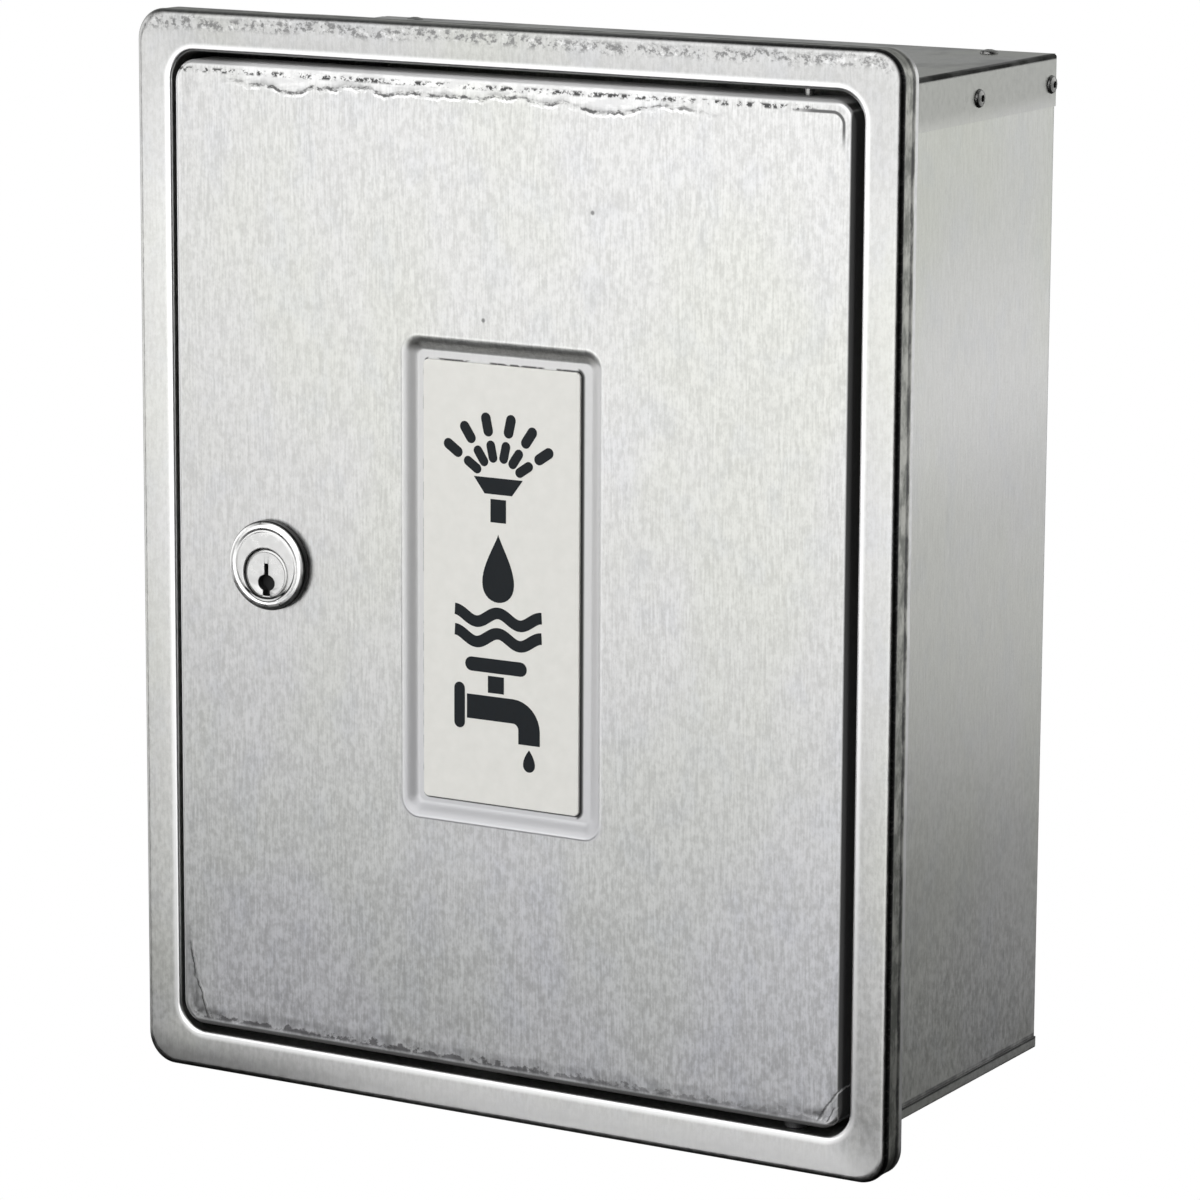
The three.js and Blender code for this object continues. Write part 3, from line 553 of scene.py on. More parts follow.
def mark_label_rim(steel):
    """Painted shadow, with some dirt, lies round the label, thickest on its right and lower sides."""
    x, _, z = steel.axes
    half = (label_high - label_low) / 2
    from_label = inward(steel.axes, half.x, half.z, LABEL_CORNER, (LABEL_CENTRE.x, LABEL_CENTRE.z))
    at_right = rising(x, label_high.x - 1.5 * MM, label_high.x - 0.5 * MM)
    at_bottom = falling(z, label_low.z + 0.5 * MM, label_low.z + 1.5 * MM)
    # Painted shadow beside the label's right edge.
    steel.paint_matt_shade(at_right * rising(from_label, -1.5 * MM, -0.7 * MM, 0.9))
    dotted = spread(steel.pattern((170, 0, 170), 2.0, 0.5, (5, 0, 8)), 0.46, 0.54, 0.1, 0.9)
    thickness = reckoned("MAXIMUM", reckoned("MAXIMUM", at_right, at_bottom), dotted)
    steel.paint(rising(from_label, -0.75 * MM, -0.25 * MM) * thickness, 0.04)


def mark_door_edges(steel, from_outline):
    """The bend is painted bright on the lock side as a painted highlight, and painted dark on the other three
    as painted shade. The door's lower part is cooler.
    """
    x, y, z = steel.axes
    bend = falling(from_outline, 0.8 * MM, 2.0 * MM) * falling(y - FRONT, 1.5 * MM, 2.5 * MM)
    steel.dim(falling(z, -0.9 * DOOR_Z, 0.1 * DOOR_Z, 0.9), 1.0, (0.95, 0.955, 1.0))
    # Painted highlight along the bend; painted shade over it on the right, at the bottom and at the top.
    steel.paint_highlight(bend, 0.74, 0.34)
    steel.paint_matt_shade(rising(x, DOOR_RIGHT - 1.7 * MM, DOOR_RIGHT - 0.9 * MM, 0.95), 0.03)
    steel.paint_matt_shade(falling(z, 1.1 * MM - DOOR_Z, 1.9 * MM - DOOR_Z, 0.9), 0.03)
    steel.paint_matt_shade(rising(z, DOOR_Z - 1.5 * MM, DOOR_Z - 0.7 * MM, 0.7), 0.2)


def mark_top_fold(steel, below_top):
    """A broken dark line of painted shade, with a painted highlight line below it, wanders under the top
    edge, below a mottled strip.
    """
    x = steel.axes[0]
    slow = spread(steel.pattern((38, 0, 0), 2.0, 0.5, (0.3, 0, 0)), 0.3, 0.7, 4.2 * MM, 8.0 * MM)
    quick = spread(steel.pattern((190, 0, 0), 3.0, 0.6, (7, 0, 0)), 0.2, 0.8, -0.8 * MM, 0.8 * MM)
    past_fold = below_top - (slow + quick)
    span = rising(x, DOOR_LEFT + 14 * MM, DOOR_LEFT + 30 * MM) * falling(x, 52 * MM, 74 * MM)
    above_fold = falling(past_fold, -0.2 * MM, 0.0) * span
    grey_strip = rising(steel.pattern((120, 0, 380), 3.0, 0.6, (4, 0, 4)), 0.42, 0.6, 0.55)
    steel.paint(above_fold * grey_strip, 0.30)
    steel.paint(above_fold * falling(past_fold, -2.2 * MM, -0.2 * MM, 0.35), 0.98)
    # Painted shade along the fold line.
    dashes = rising(steel.pattern((230, 0, 420), 4.0, 0.7, (2, 0, 5)), 0.43, 0.56, 0.95)
    steel.paint(near_nought(past_fold, 0.25 * MM, 0.55 * MM) * span * dashes, 0.09)
    other_dashes = rising(steel.pattern((200, 0, 300), 4.0, 0.7, (9, 0, 1)), 0.50, 0.62, 0.7)
    steel.paint(near_nought(past_fold + quick * 1.3, 0.1 * MM, 0.5 * MM) * span * other_dashes, 0.16)
    # Painted highlight just below the fold.
    shine = near_nought(past_fold - 0.95 * MM, 0.2 * MM, 0.4 * MM)
    steel.paint(shine * span * spread(dashes, 0.0, 0.9, 0.1, 0.7), 0.95)


def mark_edge_specks(steel, below_top, from_outline, speckle):
    """Dark specks below the top edge, and uneven dark blots along the bottom edge."""
    x, _, z = steel.axes
    near_top = near_nought(below_top - 2.9 * MM, 0.3 * MM, 0.8 * MM)
    to_corner = falling(x, DOOR_RIGHT - 16 * MM, DOOR_RIGHT - 10 * MM)
    steel.paint(near_top * to_corner * rising(speckle, 0.49, 0.58), 0.07)
    by_the_edge = spread(z + DOOR_Z, 1.5 * MM, 6.5 * MM, 0.14, -0.22)
    blots = rising(steel.pattern((210, 0, 260), 4.0, 0.7, (3, 0, 6)) + by_the_edge, 0.51, 0.60, 0.9)
    more_at_left = spread(x, 0.2 * DOOR_LEFT, 0.9 * DOOR_RIGHT, 0.9, 0.45)
    off_the_bend = rising(from_outline, 1.5 * MM, 2.5 * MM)
    steel.paint(blots * more_at_left * off_the_bend, 0.13, (0.98, 0.96, 1.0))


def mark_upper_corner(steel, from_outline):
    """A dark line of painted shade follows the upper right corner a little inside the edge."""
    x, _, z = steel.axes
    at_right = rising(x, DOOR_RIGHT - 22 * MM, DOOR_RIGHT - 12 * MM)
    at_top = rising(z, DOOR_Z - 15 * MM, DOOR_Z - 8 * MM)
    steel.paint(near_nought(from_outline - 3.5 * MM, 0.25 * MM, 0.4 * MM) * (at_right * at_top), 0.12)


def crease(steel, start, end, half_width):
    """A mask for a wavering line between two points."""
    x, _, z = steel.axes
    along_x, along_z = (end - start).normalized()
    along = (x - start.x) * along_x + (z - start.y) * along_z
    across = (x - start.x) * along_z - (z - start.y) * along_x
    wobble = spread(steel.pattern(180, 3.0, 0.6, (5, 1, 2)), 0.2, 0.8, -0.6 * MM, 0.6 * MM)
    length = (end - start).length
    within = rising(along, 0.0, 1.5 * MM) * falling(along, length - 1.5 * MM, length)
    return near_nought(across + wobble, half_width, 0.3 * MM) * within


def mark_creases(steel, speckle):
    """Dark lines of painted shade along the creases at the lower corners, each with a painted highlight
    beside it.
    """
    aside = Vector((0.9 * MM, 0.3 * MM))
    for side, first, last, half_width in LOWER_CREASES:
        start, end = (Vector((side, -DOOR_Z)) + Vector(place) * MM for place in (first, last))
        width = half_width * MM
        # Painted shade along the crease, and a painted highlight beside it.
        steel.paint(crease(steel, start, end, width) * spread(speckle, 0.3, 0.6, 0.5, 1.0), 0.14)
        steel.paint(crease(steel, start + aside, end + aside, width) * 0.45, 0.92)


def mark_specks(steel):
    x, _, z = steel.axes
    for speck_x, speck_z in DOOR_SPECKS:
        steel.paint(falling(slant(x - speck_x, z - speck_z), 0.35 * MM, 0.9 * MM, 0.8), 0.12)


def door_sheet():
    """The door. Its marks are laid over each other in this order."""
    steel = SheetSteel("brushed_door", 0.42, 0.505, 0.735)
    steel.mark_front_only()
    below_top = DOOR_Z - steel.axes[2]
    from_outline = inward(steel.axes, DOOR_HALF, DOOR_Z, DOOR_CORNER, (DOOR_MIDDLE, 0))
    speckle = steel.pattern((420, 420, 480), 4.0, 0.7, (6, 4, 2))
    mark_field(steel)
    mark_label_rim(steel)
    mark_door_edges(steel, from_outline)
    mark_top_fold(steel, below_top)
    mark_edge_specks(steel, below_top, from_outline, speckle)
    mark_upper_corner(steel, from_outline)
    mark_creases(steel, speckle)
    mark_specks(steel)
    return steel.close()


def mottled(name, slot, tones, clouds, rough, skin, depth, reach=None, strength=1.0, **constants):
    """A material of two tones mingled in clouds, which also vary how rough it is, under a bumpy skin."""
    surface = Surface(name, **constants)
    mottle = surface.pattern(*clouds)
    bumps = surface.pattern(*skin) if skin else mottle
    colour = blended(rising(mottle, *reach) if reach else mottle, *tones)
    return surface.finish(slot, colour, spread(mottle, 0.3, 0.7, *rough), bumps, depth, strength)


def lock_chrome():
    """Satin plate on the lock's faces, with a painted highlight on its rounded shoulder, painted shade on the
    rosette's side, and painted shade in the keyway.
    """
    plate = Surface("lock_chrome", Metallic=1.0)
    x, y, z = plate.axes
    haze = plate.pattern(420, 4.0, 0.6)
    colour = blended(haze, (0.56, 0.56, 0.555, 1), (0.74, 0.74, 0.73, 1))
    radius = slant(x - LOCK.x, z - LOCK.z)
    # Painted highlight on the rounded shoulder.
    colour = blended(rising(radius, 10.2 * MM, 11.0 * MM), colour, (0.97, 0.97, 0.96, 1))
    # Painted shade on the rosette's side.
    colour = blended(rising(radius, 12.8 * MM, 13.2 * MM), colour, grey(0.045))
    # Painted shade in the keyway, matt and dark.
    keyway_shade = rising(y, PLUG.y + 0.12 * MM, PLUG.y + 0.5 * MM) * falling(radius, 10.0 * MM, 10.4 * MM)
    colour = blended(keyway_shade, colour, grey(0.012))
    plate.feed("Metallic", 1.0 - keyway_shade)
    rough = reckoned("MAXIMUM", spread(haze, 0.3, 0.7, 0.26, 0.38), keyway_shade * 0.9)
    return plate.finish("chrome", colour, rough, haze, 0.006 * MM, 0.6)


def brass(name, grit):
    """Brass, cast if the grit is coarse and turned if it is fine."""
    return mottled(
        name, "brass", ((0.70, 0.52, 0.25, 1), (0.46, 0.31, 0.13, 1)),
        (90, 5.0, 0.6), (0.22, 0.45), (1300, 3.0, 0.6, (2, 6, 1)), grit,
        reach=(0.35, 0.7), Metallic=1.0,
    )


SHEET_STEEL = plain_sheet()
BOX_STEEL = box_sheet()
COVER_STEEL = cover_sheet()
DOOR_STEEL = door_sheet()
BORDER_STEEL = border_sheet()
LOCK_CHROME = lock_chrome()
CAST_BRASS = brass("cast_brass", 0.05 * MM)
TURNED_BRASS = brass("turned_brass", 0.008 * MM)
PLATED = mottled(
    "plated_steel", "plated_steel", ((0.22, 0.22, 0.215, 1), (0.42, 0.42, 0.41, 1)),
    (120, 4.0), (0.22, 0.42), ((2400, 300, 300), 3.0, 0.6, (1, 2, 3)), 0.01 * MM,
    strength=0.6, Metallic=1.0,
)
CHROME = mottled(
    "bright_chrome", "chrome", ((0.66, 0.67, 0.67, 1), (0.86, 0.86, 0.85, 1)),
    (180, 4.0, 0.6), (0.06, 0.14), (1800, 2.0, 0.5, (4, 4, 4)), 0.004 * MM,
    strength=0.6, Metallic=1.0,
)
RUBBER = mottled(
    "black_rubber", "black_rubber", ((0.013, 0.013, 0.014, 1), (0.05, 0.05, 0.048, 1)),
    (140, 4.0, 0.6, (7, 7, 7)), (0.5, 0.8), (1500, 3.0), 0.03 * MM,
    reach=(0.45, 0.75), Metallic=0.0,
)
NYLON = mottled(
    "nylon", "nylon", ((0.014, 0.014, 0.015, 1), (0.028, 0.028, 0.029, 1)),
    ((220, 220, 80), 3.0), (0.4, 0.55), (1700, 2.0), 0.015 * MM, Metallic=0.0,
)
LABEL = mottled(
    "label_plate", "label_plate", ((0.76, 0.755, 0.71, 1), (0.88, 0.87, 0.83, 1)),
    (210, 4.0, 0.6), (0.32, 0.5), (1200, 2.0, 0.5, (2, 2, 2)), 0.01 * MM,
    Metallic=0.0, Coat_Weight=0.15, Coat_Roughness=0.3,
)
INK = mottled(
    "pictogram_ink", "label_plate", ((0.003, 0.005, 0.007, 1), (0.012, 0.016, 0.02, 1)),
    (500, 3.0), (0.35, 0.55), None, 0.01 * MM, Metallic=0.0, Specular_IOR_Level=0.2,
)

# ---- stamped border


def ripple(x, z, length, seed):
    """Slow noise from 0 to 1 over the sheet."""
    return 0.5 + 0.5 * noise.noise(Vector((x / length, z / length, seed)))


def border_dent(x, z):
    """How far the border's face lies behind its true plane: wrinkles near its top edge."""
    near_top = max(0.0, 1 - abs(BORDER_Z - z - 3.5 * MM) / (3 * MM))
    wrinkle = ripple(x, z * 0.6, 3.2 * MM, 4.0) * 0.09 * MM
    return near_top * wrinkle + ripple(x, z, 30 * MM, 8.0) * 0.05 * MM


def slacken(point):
    """Moves a point of the outer return inwards, here more and there less."""
    slack = ripple(point.x + point.y * 3, point.z, 14 * MM, 2.0) * 0.35 * MM
    if BORDER_X - abs(point.x) < BORDER_Z - abs(point.z):
        point.x -= math.copysign(slack, point.x)
    else:
        point.z -= math.copysign(slack, point.z)


BORDER_STEPS = (16, 150, 190)


def front_border():
    """The frame's section goes up the flange in the opening, over the face and back along the outer return.
    The face leans in towards the opening, round a soft inner bend."""
    lean = 0.35 * MM
    bend = 1.15 * MM
    outer_centre = (BORDER - BORDER_EDGE, BORDER_EDGE)
    inner_centre = (bend, bend + lean)
    flange = border_high.y - FRONT
    face_steps = 9
    face_width = BORDER - BORDER_EDGE - bend
    shares = [i / face_steps for i in range(1, face_steps)]
    face = [(bend + face_width * share, lean * (1 - share) ** 1.6) for share in shares]
    lining = [(0, flange), (0, flange * 0.5), *arc(inner_centre, bend, 180, 270, 9)]
    section = [
        *lining, *face,
        *arc(outer_centre, BORDER_EDGE, 270, 360, 12),
        (BORDER, 4 * MM), (BORDER, 6 * MM), (BORDER, 8 * MM), (BORDER, BORDER_RETURN),
        (BORDER - SHEET, BORDER_RETURN), *arc(outer_centre, BORDER_EDGE - SHEET, 360, 270, 6),
        *arc(inner_centre, bend - SHEET, 270, 180, 5), (SHEET, flange),
    ]
    dented = range(len(lining) - 2, len(lining) + len(face))
    loops = []
    for i, (outward, back) in enumerate(section):
        radius = OPENING_CORNER + (BORDER_CORNER - OPENING_CORNER) * outward / BORDER
        half_x, half_z = OPENING_X + outward, OPENING_Z + outward
        loop = rounded_loop(half_x, half_z, radius, FRONT + back, steps=BORDER_STEPS)
        if i in dented:
            for point in loop:
                point.y += border_dent(point.x, point.z)
        if outward == BORDER and back > BORDER_EDGE:
            for point in loop:
                slacken(point)
        loops.append(loop)
    make("front_border", [loft(loops, ring=True)], BORDER_STEEL, "cabinet", ["front_frame"], sharp=50)


# ---- door


def beyond(x, z, start, end):
    """How far a point lies on the left of a line, looking from its start to its end."""
    run = end - start
    return ((z - start.y) * run.x - (x - start.x) * run.y) / run.length


LOWER_RIGHT_FOLD = (Vector((DOOR_RIGHT, 13 * MM - DOOR_Z)), Vector((DOOR_RIGHT - 8.5 * MM, -DOOR_Z)))
LOWER_LEFT_FOLD = (Vector((DOOR_LEFT + 9.5 * MM, -DOOR_Z)), Vector((DOOR_LEFT + 4 * MM, 22 * MM - DOOR_Z)))


def door_dent(x, z):
    """How far the pressed sheet lies behind the door's true plane."""
    from_top = DOOR_Z - z
    from_bottom = DOOR_Z + z
    from_side = DOOR_HALF - abs(x - DOOR_MIDDLE)
    dent = ripple(x, z, 42 * MM, 1.0) * 0.10 * MM
    # An uneven fold line runs below the top edge, and the strip above it leans back.
    slow = noise.noise(Vector((x / (26 * MM), 0, 5)))
    quick = noise.noise(Vector((x / (5 * MM), 0, 6)))
    fold = (5.2 + 3.4 * slow + 1.1 * quick) * MM
    from_left = min(1.0, (x - DOOR_LEFT - 6 * MM) / (20 * MM))
    from_right = min(1.0, (DOOR_RIGHT - 10 * MM - x) / (40 * MM))
    reach = max(0.0, from_left * from_right)
    if from_top < fold:
        dent += (fold - from_top) * 0.045 * reach
        dent += ripple(x, z, 2.6 * MM, 9.0) * 0.05 * MM * reach
    # Small buckles along the bottom edge.
    near_bottom = max(0.0, 1 - from_bottom / (6 * MM))
    dent += near_bottom * ripple(x, z, 5.5 * MM, 12.0) * 0.30 * MM
    # The lower corners are creased.
    for fold_line in (LOWER_RIGHT_FOLD, LOWER_LEFT_FOLD):
        dent += max(0.0, beyond(x, z, *fold_line)) * 0.06
    # The sheet begins to sag before the field's slope.
    off_x = max(0.0, abs(x - FIELD_CENTRE[0]) - FIELD.x + FIELD_CORNER)
    off_z = max(0.0, abs(z - FIELD_CENTRE[1]) - FIELD.y + FIELD_CORNER)
    from_field = math.hypot(off_x, off_z) - FIELD_CORNER
    if from_field < SHOULDER:
        dent += 0.10 * MM * (1 - max(0.0, from_field) / SHOULDER) ** 2
    # A shallow groove follows the edge round each corner.
    from_end = min(from_top, from_bottom)
    corner = max(0.0, 1 - math.hypot(from_side, from_end) / (16 * MM))
    across = DOOR_CORNER - math.hypot(max(0, DOOR_CORNER - from_side), max(0, DOOR_CORNER - from_end))
    dent += corner * 0.25 * MM * math.exp(-((across - 3.4 * MM) / (0.9 * MM)) ** 2)
    return dent


DOOR_STEPS = (14, 150, 195)


def field_loop(within, fall, y):
    """A loop of the sunken field, so far within its outline and so far below the face."""
    radius = FIELD_CORNER - within * 0.8
    return rounded_loop(FIELD.x - within, FIELD.y - within, radius, y + fall, FIELD_CENTRE, DOOR_STEPS)


def door_side(half_x, half_z, corner, edge, y, face_rings, edge_steps, slope_steps):
    """One side of the door's sheet, from the sunken field's floor out to the rear edge of the rim."""
    loops = []
    for i in range(slope_steps, -1, -1):
        share = i / slope_steps
        fall = FIELD_DEPTH * (1 - math.cos(math.pi * share**1.35)) / 2
        loops.append(field_loop(FIELD_SLOPE * share, fall, y))
    field = loops[-1]
    middle = (DOOR_MIDDLE, 0)
    face = rounded_loop(half_x - edge, half_z - edge, corner - edge * 0.8, y, middle, DOOR_STEPS)
    width = half_x - edge - FIELD.x
    for ring in face_rings:
        share = 1 - ring / width
        loops.append([near.lerp(far, share) for near, far in zip(field, face)])
    for outward, back in arc((-edge, edge), edge, 270, 360, edge_steps):
        radius = corner + outward * 0.8
        loops.append(rounded_loop(half_x + outward, half_z + outward, radius, y + back, middle, DOOR_STEPS))
    for share in (0.25, 0.5, 0.75, 1.0):
        back = edge + (DOOR_REAR - y - edge) * share
        loops.append(rounded_loop(half_x, half_z, corner, y + back, middle, DOOR_STEPS))
    return loops


def door_panel():
    """The pressed door: fine rings near its edge carry the dents."""
    fine = [(66 - 9 * i) * MM for i in range(6)] + [(14 - 0.8 * i) * MM for i in range(17)]
    outside = door_side(DOOR_HALF, DOOR_Z, DOOR_CORNER, DOOR_EDGE, FRONT, fine, 10, 14)
    for loop in outside:
        for point in loop:
            flat = max(0.0, 1 - (point.y - FRONT) / (0.9 * MM))
            in_field = max(abs(point.x - FIELD_CENTRE[0]) - FIELD.x, abs(point.z - FIELD_CENTRE[1]) - FIELD.y)
            if in_field > 0 or flat == 1.0:
                point.y += flat * door_dent(point.x, point.z)
    inside = door_side(DOOR_HALF - DOOR_SHEET, DOOR_Z - DOOR_SHEET, DOOR_CORNER - DOOR_SHEET,
                       DOOR_EDGE - DOOR_SHEET, FRONT + DOOR_SHEET, [40 * MM], 4, 6)
    make("door_skin", [loft([*outside, *inside[::-1]])], DOOR_STEEL, "door", ["door_panel"], sharp=50)


# ---- label


def label_plate():
    half_x = (label_high.x - label_low.x) / 2
    half_z = (label_high.z - label_low.z) / 2
    centre = (LABEL_CENTRE.x, LABEL_CENTRE.z)
    bevel = 0.3 * MM
    thickness = label_high.y - label_low.y
    section = [(-bevel, 0), *arc((-bevel, bevel), bevel, 270, 360, 5)[1:], (0, thickness)]
    loops = [
        rounded_loop(half_x + outward, half_z + outward, LABEL_CORNER + outward, label_low.y + back, centre,
                     (8, 30, 60))
        for outward, back in section
    ]
    make("label_sign", [loft(loops)], LABEL, "door", ["label_plate"])


def inset(outline, distance):
    """The closed outline moved inwards along its own normals."""
    moved = []
    for i, here in enumerate(outline):
        before = (here - outline[i - 1]).normalized()
        after = (outline[(i + 1) % len(outline)] - here).normalized()
        normal = Vector((-before.y - after.y, before.x + after.x))
        moved.append(here + normal.normalized() * distance if normal.length > 1e-6 else here.copy())
    return moved


def raised(outline):
    """A thin raised print from an outline in mm from the label's centre."""
    height, edge = 0.12, 0.05
    area = sum(a.x * b.y - a.y * b.x for a, b in zip(outline, outline[1:] + outline[:1]))
    if area < 0:
        outline = outline[::-1]
    loops = []
    for drawn_in, rise in ((0.0, 0.02), (0.0, height - edge), (edge, height)):
        loops.append([
            Vector((LABEL_CENTRE.x, label_low.y, LABEL_CENTRE.z)) + Vector((point.x, -rise, point.y)) * MM
            for point in inset(outline, drawn_in)
        ])
    return loft(loops)


def stroke(start, end, width):
    """A straight stroke with round ends."""
    start, end = Vector(start), Vector(end)
    heading = math.atan2(end.y - start.y, end.x - start.x)
    outline = []
    for centre, first in ((end, heading - math.pi / 2), (start, heading + math.pi / 2)):
        for i in range(9):
            angle = first + math.pi * i / 8
            outline.append(centre + Vector((math.cos(angle), math.sin(angle))) * width / 2)
    return outline


def band(path, width):
    """The outline of a bent stroke along a path."""
    points = [Vector(p) for p in path]
    left, right = [], []
    for i, here in enumerate(points):
        run = (points[min(i + 1, len(points) - 1)] - points[max(i - 1, 0)]).normalized()
        side = Vector((-run.y, run.x)) * width / 2
        left.append(here + side)
        right.append(here - side)
    return left + right[::-1]


def print_piece(name, outlines):
    piece = bare_object(name, [raised(outline) for outline in outlines])
    dressed(piece, INK, "door")


def polygon(x, z, *corners):
    """An outline with its corners given from the sign's centre."""
    return [Vector((x + right, z + up)) for right, up in corners]


def drop(x, z, half_width, half_height, sides, power):
    """A drop's outline. The higher the power, the slimmer its upper end."""
    turns = [2 * math.pi * i / sides for i in range(sides)]
    return [
        Vector((x + half_width * math.sin(a) * math.sin(a / 2) ** power, z + half_height * math.cos(a)))
        for a in turns
    ]


def spray_sign(x, z):
    """A sprinkler: a stem with a wide nozzle, and jets of two dashes each that fan out above it."""
    outlines = [
        polygon(x, z, (-2.6, -16), (2.6, -16), (2.6, -9.2), (-2.6, -9.2)),
        polygon(x, z, (-4.6, -7.8), (4.6, -7.8), (8.2, -3.0), (-8.2, -3.0)),
    ]
    base = Vector((x, z - 5.6))
    for degrees in (-56, -34, -12, 12, 34, 56):
        heading = Vector((math.sin(math.radians(degrees)), math.cos(math.radians(degrees))))
        outlines.append(stroke(base + heading * 8.6, base + heading * 12.2, 2.9))
        outlines.append(stroke(base + heading * 16.4, base + heading * 20.2, 3.2))
    return outlines


def drop_sign(x, z):
    """A drop of water over two waves."""
    outlines = [drop(x, z + 6, 7.6, 10, 40, 1.5)]
    for level in (-8.6, -14.6):
        path = [(x + 14.6 * (i / 40 - 1), z + level + 1.5 * math.cos(i * math.pi / 20)) for i in range(81)]
        outlines.append(band(path, 3.4))
    return outlines


def tap_sign(x, z):
    """A tap with its handle, and a drop below the spout."""
    pipe = [(x - 10.5, z + 1), (x + 5, z + 1)]
    bend = arc((x + 5, z - 4.5), 5.5, 90, 0, 8)[1:]
    return [
        stroke((x - 13, z - 4), (x - 13, z + 6), 3.6),
        band([*pipe, *bend, (x + 10.5, z - 8.5)], 7.2),
        polygon(x, z, (-3.4, 5.6), (2.0, 5.6), (2.0, 10.6), (-3.4, 10.6)),
        stroke((x - 9, z + 13.6), (x + 7.6, z + 13.6), 4.2),
        drop(x + 10.5, z - 13.2, 2.6, 3.3, 24, 1),
    ]


SIGN_X = -0.8  # mm from the label's centre, like the heights below
SIGNS = (
    ("spray_print", spray_sign, 34.85),
    ("drop_print", drop_sign, -0.55),
    ("tap_print", tap_sign, -36.95),
)


def label_prints():
    for name, sign, height in SIGNS:
        print_piece(name, sign(SIGN_X, height))


# ---- lock

PLUG_RADIUS = 7.5  # mm, like the other sizes of the lock
BULB_HALF = (2.9, 2.4)
BULB_DROP = 2.6  # below the plug's axis
SLOT_HALF, SLOT_TOP = 0.65, 5.7  # from the bulb's centre
FOOT_HALF, FOOT_BOTTOM = 1.2, 4.0


def turned_loop(centre, radii, y, angles):
    """A loop round a centre at depth y, with a radius in mm for each angle."""
    return [
        Vector((centre.x + radius * MM * math.cos(a), y, centre.z + radius * MM * math.sin(a)))
        for radius, a in zip(radii, angles)
    ]


def lock_body():
    """The round cylinder: a proud rosette with a rounded shoulder, bored off its centre for the plug."""
    outside = softened([
        (11.9, -16), (11.9, 0.5), (13.4, 0.5), (13.35, 2.1), (12.9, 2.8), (12.2, 3.25),
        (11.4, 3.4), (10.7, 3.18), (10.3, 3.2), (10.0, 3.4), (9.6, 3.4),
    ], 0.3, ring=False)
    bore = softened([(8.3, 3.4), (7.75, 3.4), (7.75, -12.7), (4.2, -12.7), (4.2, -16)], 0.3, ring=False)
    angles = [2 * math.pi * i / 120 for i in range(120)]
    loops = []
    for profile, centre in ((outside, LOCK), (bore, PLUG)):
        for radius, forward in profile:
            loops.append(turned_loop(centre, [radius] * len(angles), FRONT - forward * MM, angles))
    make("lock_cylinder", [loft(loops, ring=True)], LOCK_CHROME, "door", ["lock_body"], sharp=40)


def keyway_reach(angle, grow=0.0):
    """Distance from the bulb's centre to the keyway's outline, with a slot above and a wider one below."""
    run = Vector((math.cos(angle), math.sin(angle)))
    reach = 1 / math.hypot(run.x / (BULB_HALF[0] + grow), run.y / (BULB_HALF[1] + grow))
    half, end = (SLOT_HALF, SLOT_TOP) if run.y > 0 else (FOOT_HALF, FOOT_BOTTOM)
    if run.y != 0:
        reach = max(reach, min((end + grow) / abs(run.y), (half + grow) / max(abs(run.x), 1e-6)))
    return reach


def lock_plug():
    """The turning plug with its keyway, in front of the shank that drives the cam."""
    corners = [math.atan2(SLOT_TOP, SLOT_HALF), math.atan2(SLOT_TOP, -SLOT_HALF),
               math.atan2(-FOOT_BOTTOM, FOOT_HALF), math.atan2(-FOOT_BOTTOM, -FOOT_HALF)]
    angles = sorted([2 * math.pi * i / 140 for i in range(140)]
                    + [(c + d) % (2 * math.pi) for c in corners for d in (-0.003, 0.003)])
    shank = 4.0
    shank_front = 15.8
    length = (plug_high.y - plug_low.y) / MM
    bulb = PLUG - Vector((0, 0, BULB_DROP * MM))
    rim = [(PLUG_RADIUS - 0.7 + out, back) for out, back in ((0.66, 0.4), (0.5, 0.18), (0.26, 0.05), (0, 0))]
    outside = [
        (shank, length - 4.3), (shank, shank_front), (PLUG_RADIUS, shank_front), (PLUG_RADIUS, 0.7),
        *rim, (6.75, 0.16), (6.6, 0.16), (6.5, 0),
    ]
    loops = [
        turned_loop(PLUG, [radius] * len(angles), PLUG.y + back * MM, angles) for radius, back in outside
    ]
    for grow, back in ((0.18, 0), (0.06, 0.06), (0, 0.2), (0, 2.6)):
        reaches = [keyway_reach(a, grow) for a in angles]
        loops.append(turned_loop(bulb, reaches, PLUG.y + back * MM, angles))
    make("lock_core", [loft(loops)], LOCK_CHROME, "lock_turning", ["lock_plug"], sharp=40)


# ---- nodes that keep their shape


def smooth_node(name, finish, bevel=0.15 * MM):
    """A node of the frame, rounded along its sharp edges and given its finish."""
    part = frame["nodes"][name]
    material, slot = finish
    part.data.materials.clear()
    part.data.materials.append(material)
    if "custom_normal" in part.data.attributes:
        part.data.attributes.remove(part.data.attributes["custom_normal"])
    part.data.polygons.foreach_set("use_smooth", [True] * len(part.data.polygons))
    weld = part.modifiers.new("weld", "WELD")
    weld.merge_threshold = 0.001 * MM
    rounding = part.modifiers.new("rounding", "BEVEL")
    rounding.width = bevel
    rounding.segments = 2
    rounding.limit_method = "ANGLE"
    rounding.angle_limit = math.radians(32)
    keep_flat(part)


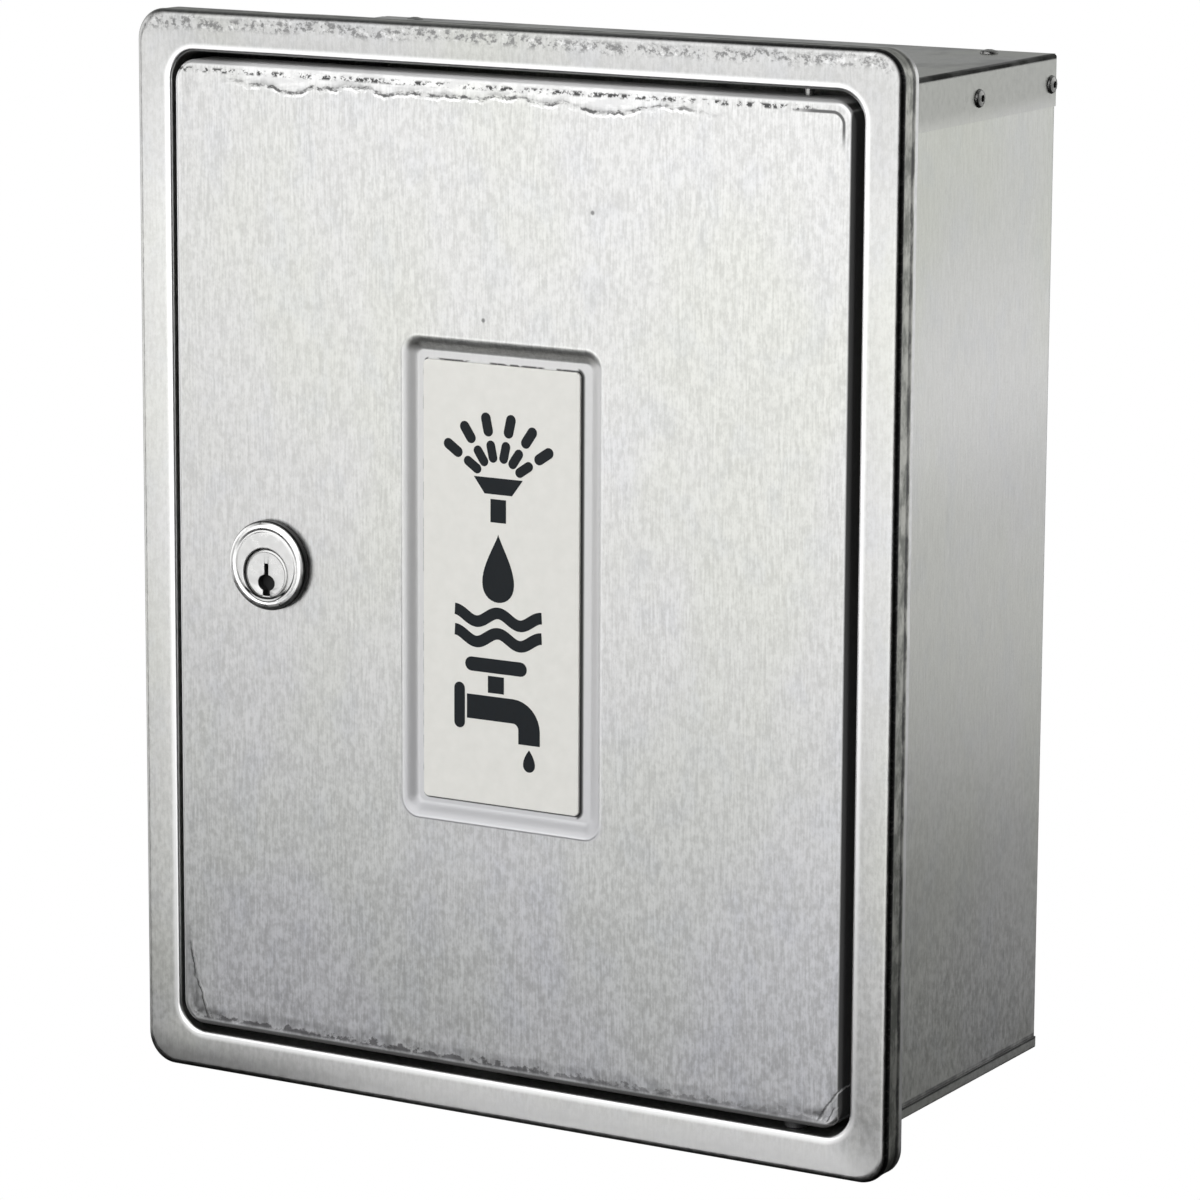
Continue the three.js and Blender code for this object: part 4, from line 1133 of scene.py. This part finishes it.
KEPT = (
    (BOX_STEEL, ("box_shell",)),
    (COVER_STEEL, ("top_plate", "bottom_plate")),
    (SHEET_STEEL, ("door_stop_strip", "upper_hinge_bracket", "lower_hinge_bracket")),
    (RUBBER, (
        "door_buffer_upper", "door_buffer_lower", "pipe_grommet", "lock_gasket",
        "gland_packing", "jumper_washer", "spout_gasket",
    )),
    (PLATED, (
        "upper_hinge_pin", "lower_hinge_pin", "lock_washer", "lock_nut",
        "lock_cam", "cam_screw", "handle_screw",
        "side_rivet_right_front", "side_rivet_right_rear", "top_rivet_right",
        "side_rivet_left_front", "side_rivet_left_rear", "top_rivet_left",
    )),
    (NYLON, ("hinge_washer", "upper_hinge_bush", "lower_hinge_bush")),
    (CHROME, ("wall_flange", "tap_handle")),
    (CAST_BRASS, ("tap_body",)),
    (TURNED_BRASS, (
        "tap_bonnet", "gland_nut", "tap_spindle", "valve_jumper", "spout_nut", "hose_nipple",
    )),
)

# ---- stage, light and camera


def softbox(name, place, target, size, radiance, turn=0.0, seen_in_gloss=True):
    """A rectangular soft light that faces a point, turned about its own axis."""
    light = bpy.data.lights.new(name, "AREA")
    light.shape = "RECTANGLE"
    light.size, light.size_y = size
    light.energy = radiance * math.pi * size[0] * size[1]
    lamp = bpy.data.objects.new(name, light)
    facing = (Vector(target) - Vector(place)).to_track_quat("-Z", "Y").to_matrix()
    lamp.matrix_world = Matrix.Translation(place) @ (facing @ Matrix.Rotation(turn, 3, "Z")).to_4x4()
    lamp.visible_glossy = seen_in_gloss
    bpy.context.scene.collection.objects.link(lamp)
    return lamp


def lights():
    key_place = Vector((-0.22, -1.32, 0.46))
    softbox("key", key_place, key_place + Vector((0.12, 1, -0.25)), (1.9, 2.15), 1.63, math.radians(-10))
    side_place = Vector((0.80, 1.02, 0.09))
    softbox("side", side_place, side_place + Vector((-0.6, -1, -0.05)), (0.9, 0.9), 1.02)
    left_place = Vector((-1.4, -0.15, 0.15))
    softbox("left", left_place, left_place + Vector((1, 0.1, -0.05)), (1.3, 1.2), 1.3)
    softbox("front_fill", (0.25, -1.6, 0.6), (0, FRONT, 0), (1.6, 1.2), 1.0, seen_in_gloss=False)


def world():
    """White where the camera looks past the object. The metal shows a dim room, lighter behind and above."""
    made = bpy.data.worlds.new("studio")
    made.use_nodes = True
    tree = made.node_tree
    tree.nodes.clear()
    _, y, z = split(given(tree, "ShaderNodeTexCoord", output="Generated"))
    level = spread(y, -0.35, 0.7, 0.012, 0.42) * spread(z, -0.5, 0.35, 0.06, 1.0)
    room = given(tree, "ShaderNodeBackground", {"Color": (0.985, 1.0, 0.985, 1), "Strength": level})
    white = given(tree, "ShaderNodeBackground", {"Color": (1, 1, 1, 1), "Strength": 1.0})
    seen = given(tree, "ShaderNodeLightPath", output="Is Camera Ray")
    mix = given(tree, "ShaderNodeMixShader", {0: seen, 1: room, 2: white})
    node(tree, "ShaderNodeOutputWorld", {"Surface": mix})
    bpy.context.scene.world = made


def floor():
    """A plain white floor just below the object. It lights nothing, and metal doesn't show it."""
    half = 6.0
    level = cad_low.z - 1 * MM
    corners = [Vector((x, y, level)) for x, y in ((-half, -half), (half, -half), (half, half), (-half, half))]
    plane = bare_object("floor", [(corners, [(0, 1, 2, 3)])])
    material = bpy.data.materials.new("white_floor")
    material.use_nodes = True
    tree = material.node_tree
    tree.nodes.clear()
    glow = given(tree, "ShaderNodeEmission", {"Color": (1, 1, 1, 1), "Strength": 1.0})
    node(tree, "ShaderNodeOutputMaterial", {"Surface": glow})
    plane.data.materials.append(material)
    plane.visible_glossy = False
    plane.visible_diffuse = False
    plane.visible_shadow = False


def camera():
    """A distant view from the right and a little above."""
    yaw, pitch, roll = math.radians(30.06), math.radians(11.17), math.radians(0.30)
    distance = 1511.3 * MM
    target = Vector((32.3 * MM, FRONT, -0.8 * MM))
    back = Vector((math.sin(yaw) * math.cos(pitch), -math.cos(yaw) * math.cos(pitch), math.sin(pitch)))
    level = Vector((0, 0, 1)).cross(back).normalized()
    upright = back.cross(level)
    right = level * math.cos(roll) + upright * math.sin(roll)
    up = upright * math.cos(roll) - level * math.sin(roll)
    data = bpy.data.cameras.new("camera")
    data.sensor_width = 36
    data.lens = 159.46  # mm, on that sensor
    data.clip_start, data.clip_end = 0.05, 50
    eye = bpy.data.objects.new("camera", data)
    turn = Matrix((right, up, back)).transposed()
    eye.matrix_world = Matrix.Translation(target + back * distance) @ turn.to_4x4()
    bpy.context.scene.collection.objects.link(eye)
    bpy.context.scene.camera = eye


# ---- assembly

camera()
world()
lights()
floor()
front_border()
door_panel()
label_plate()
label_prints()
lock_body()
lock_plug()
for kept_finish, kept_nodes in KEPT:
    for kept_node in kept_nodes:
        smooth_node(kept_node, kept_finish)

bpy.context.scene.view_settings.view_transform = "Standard"
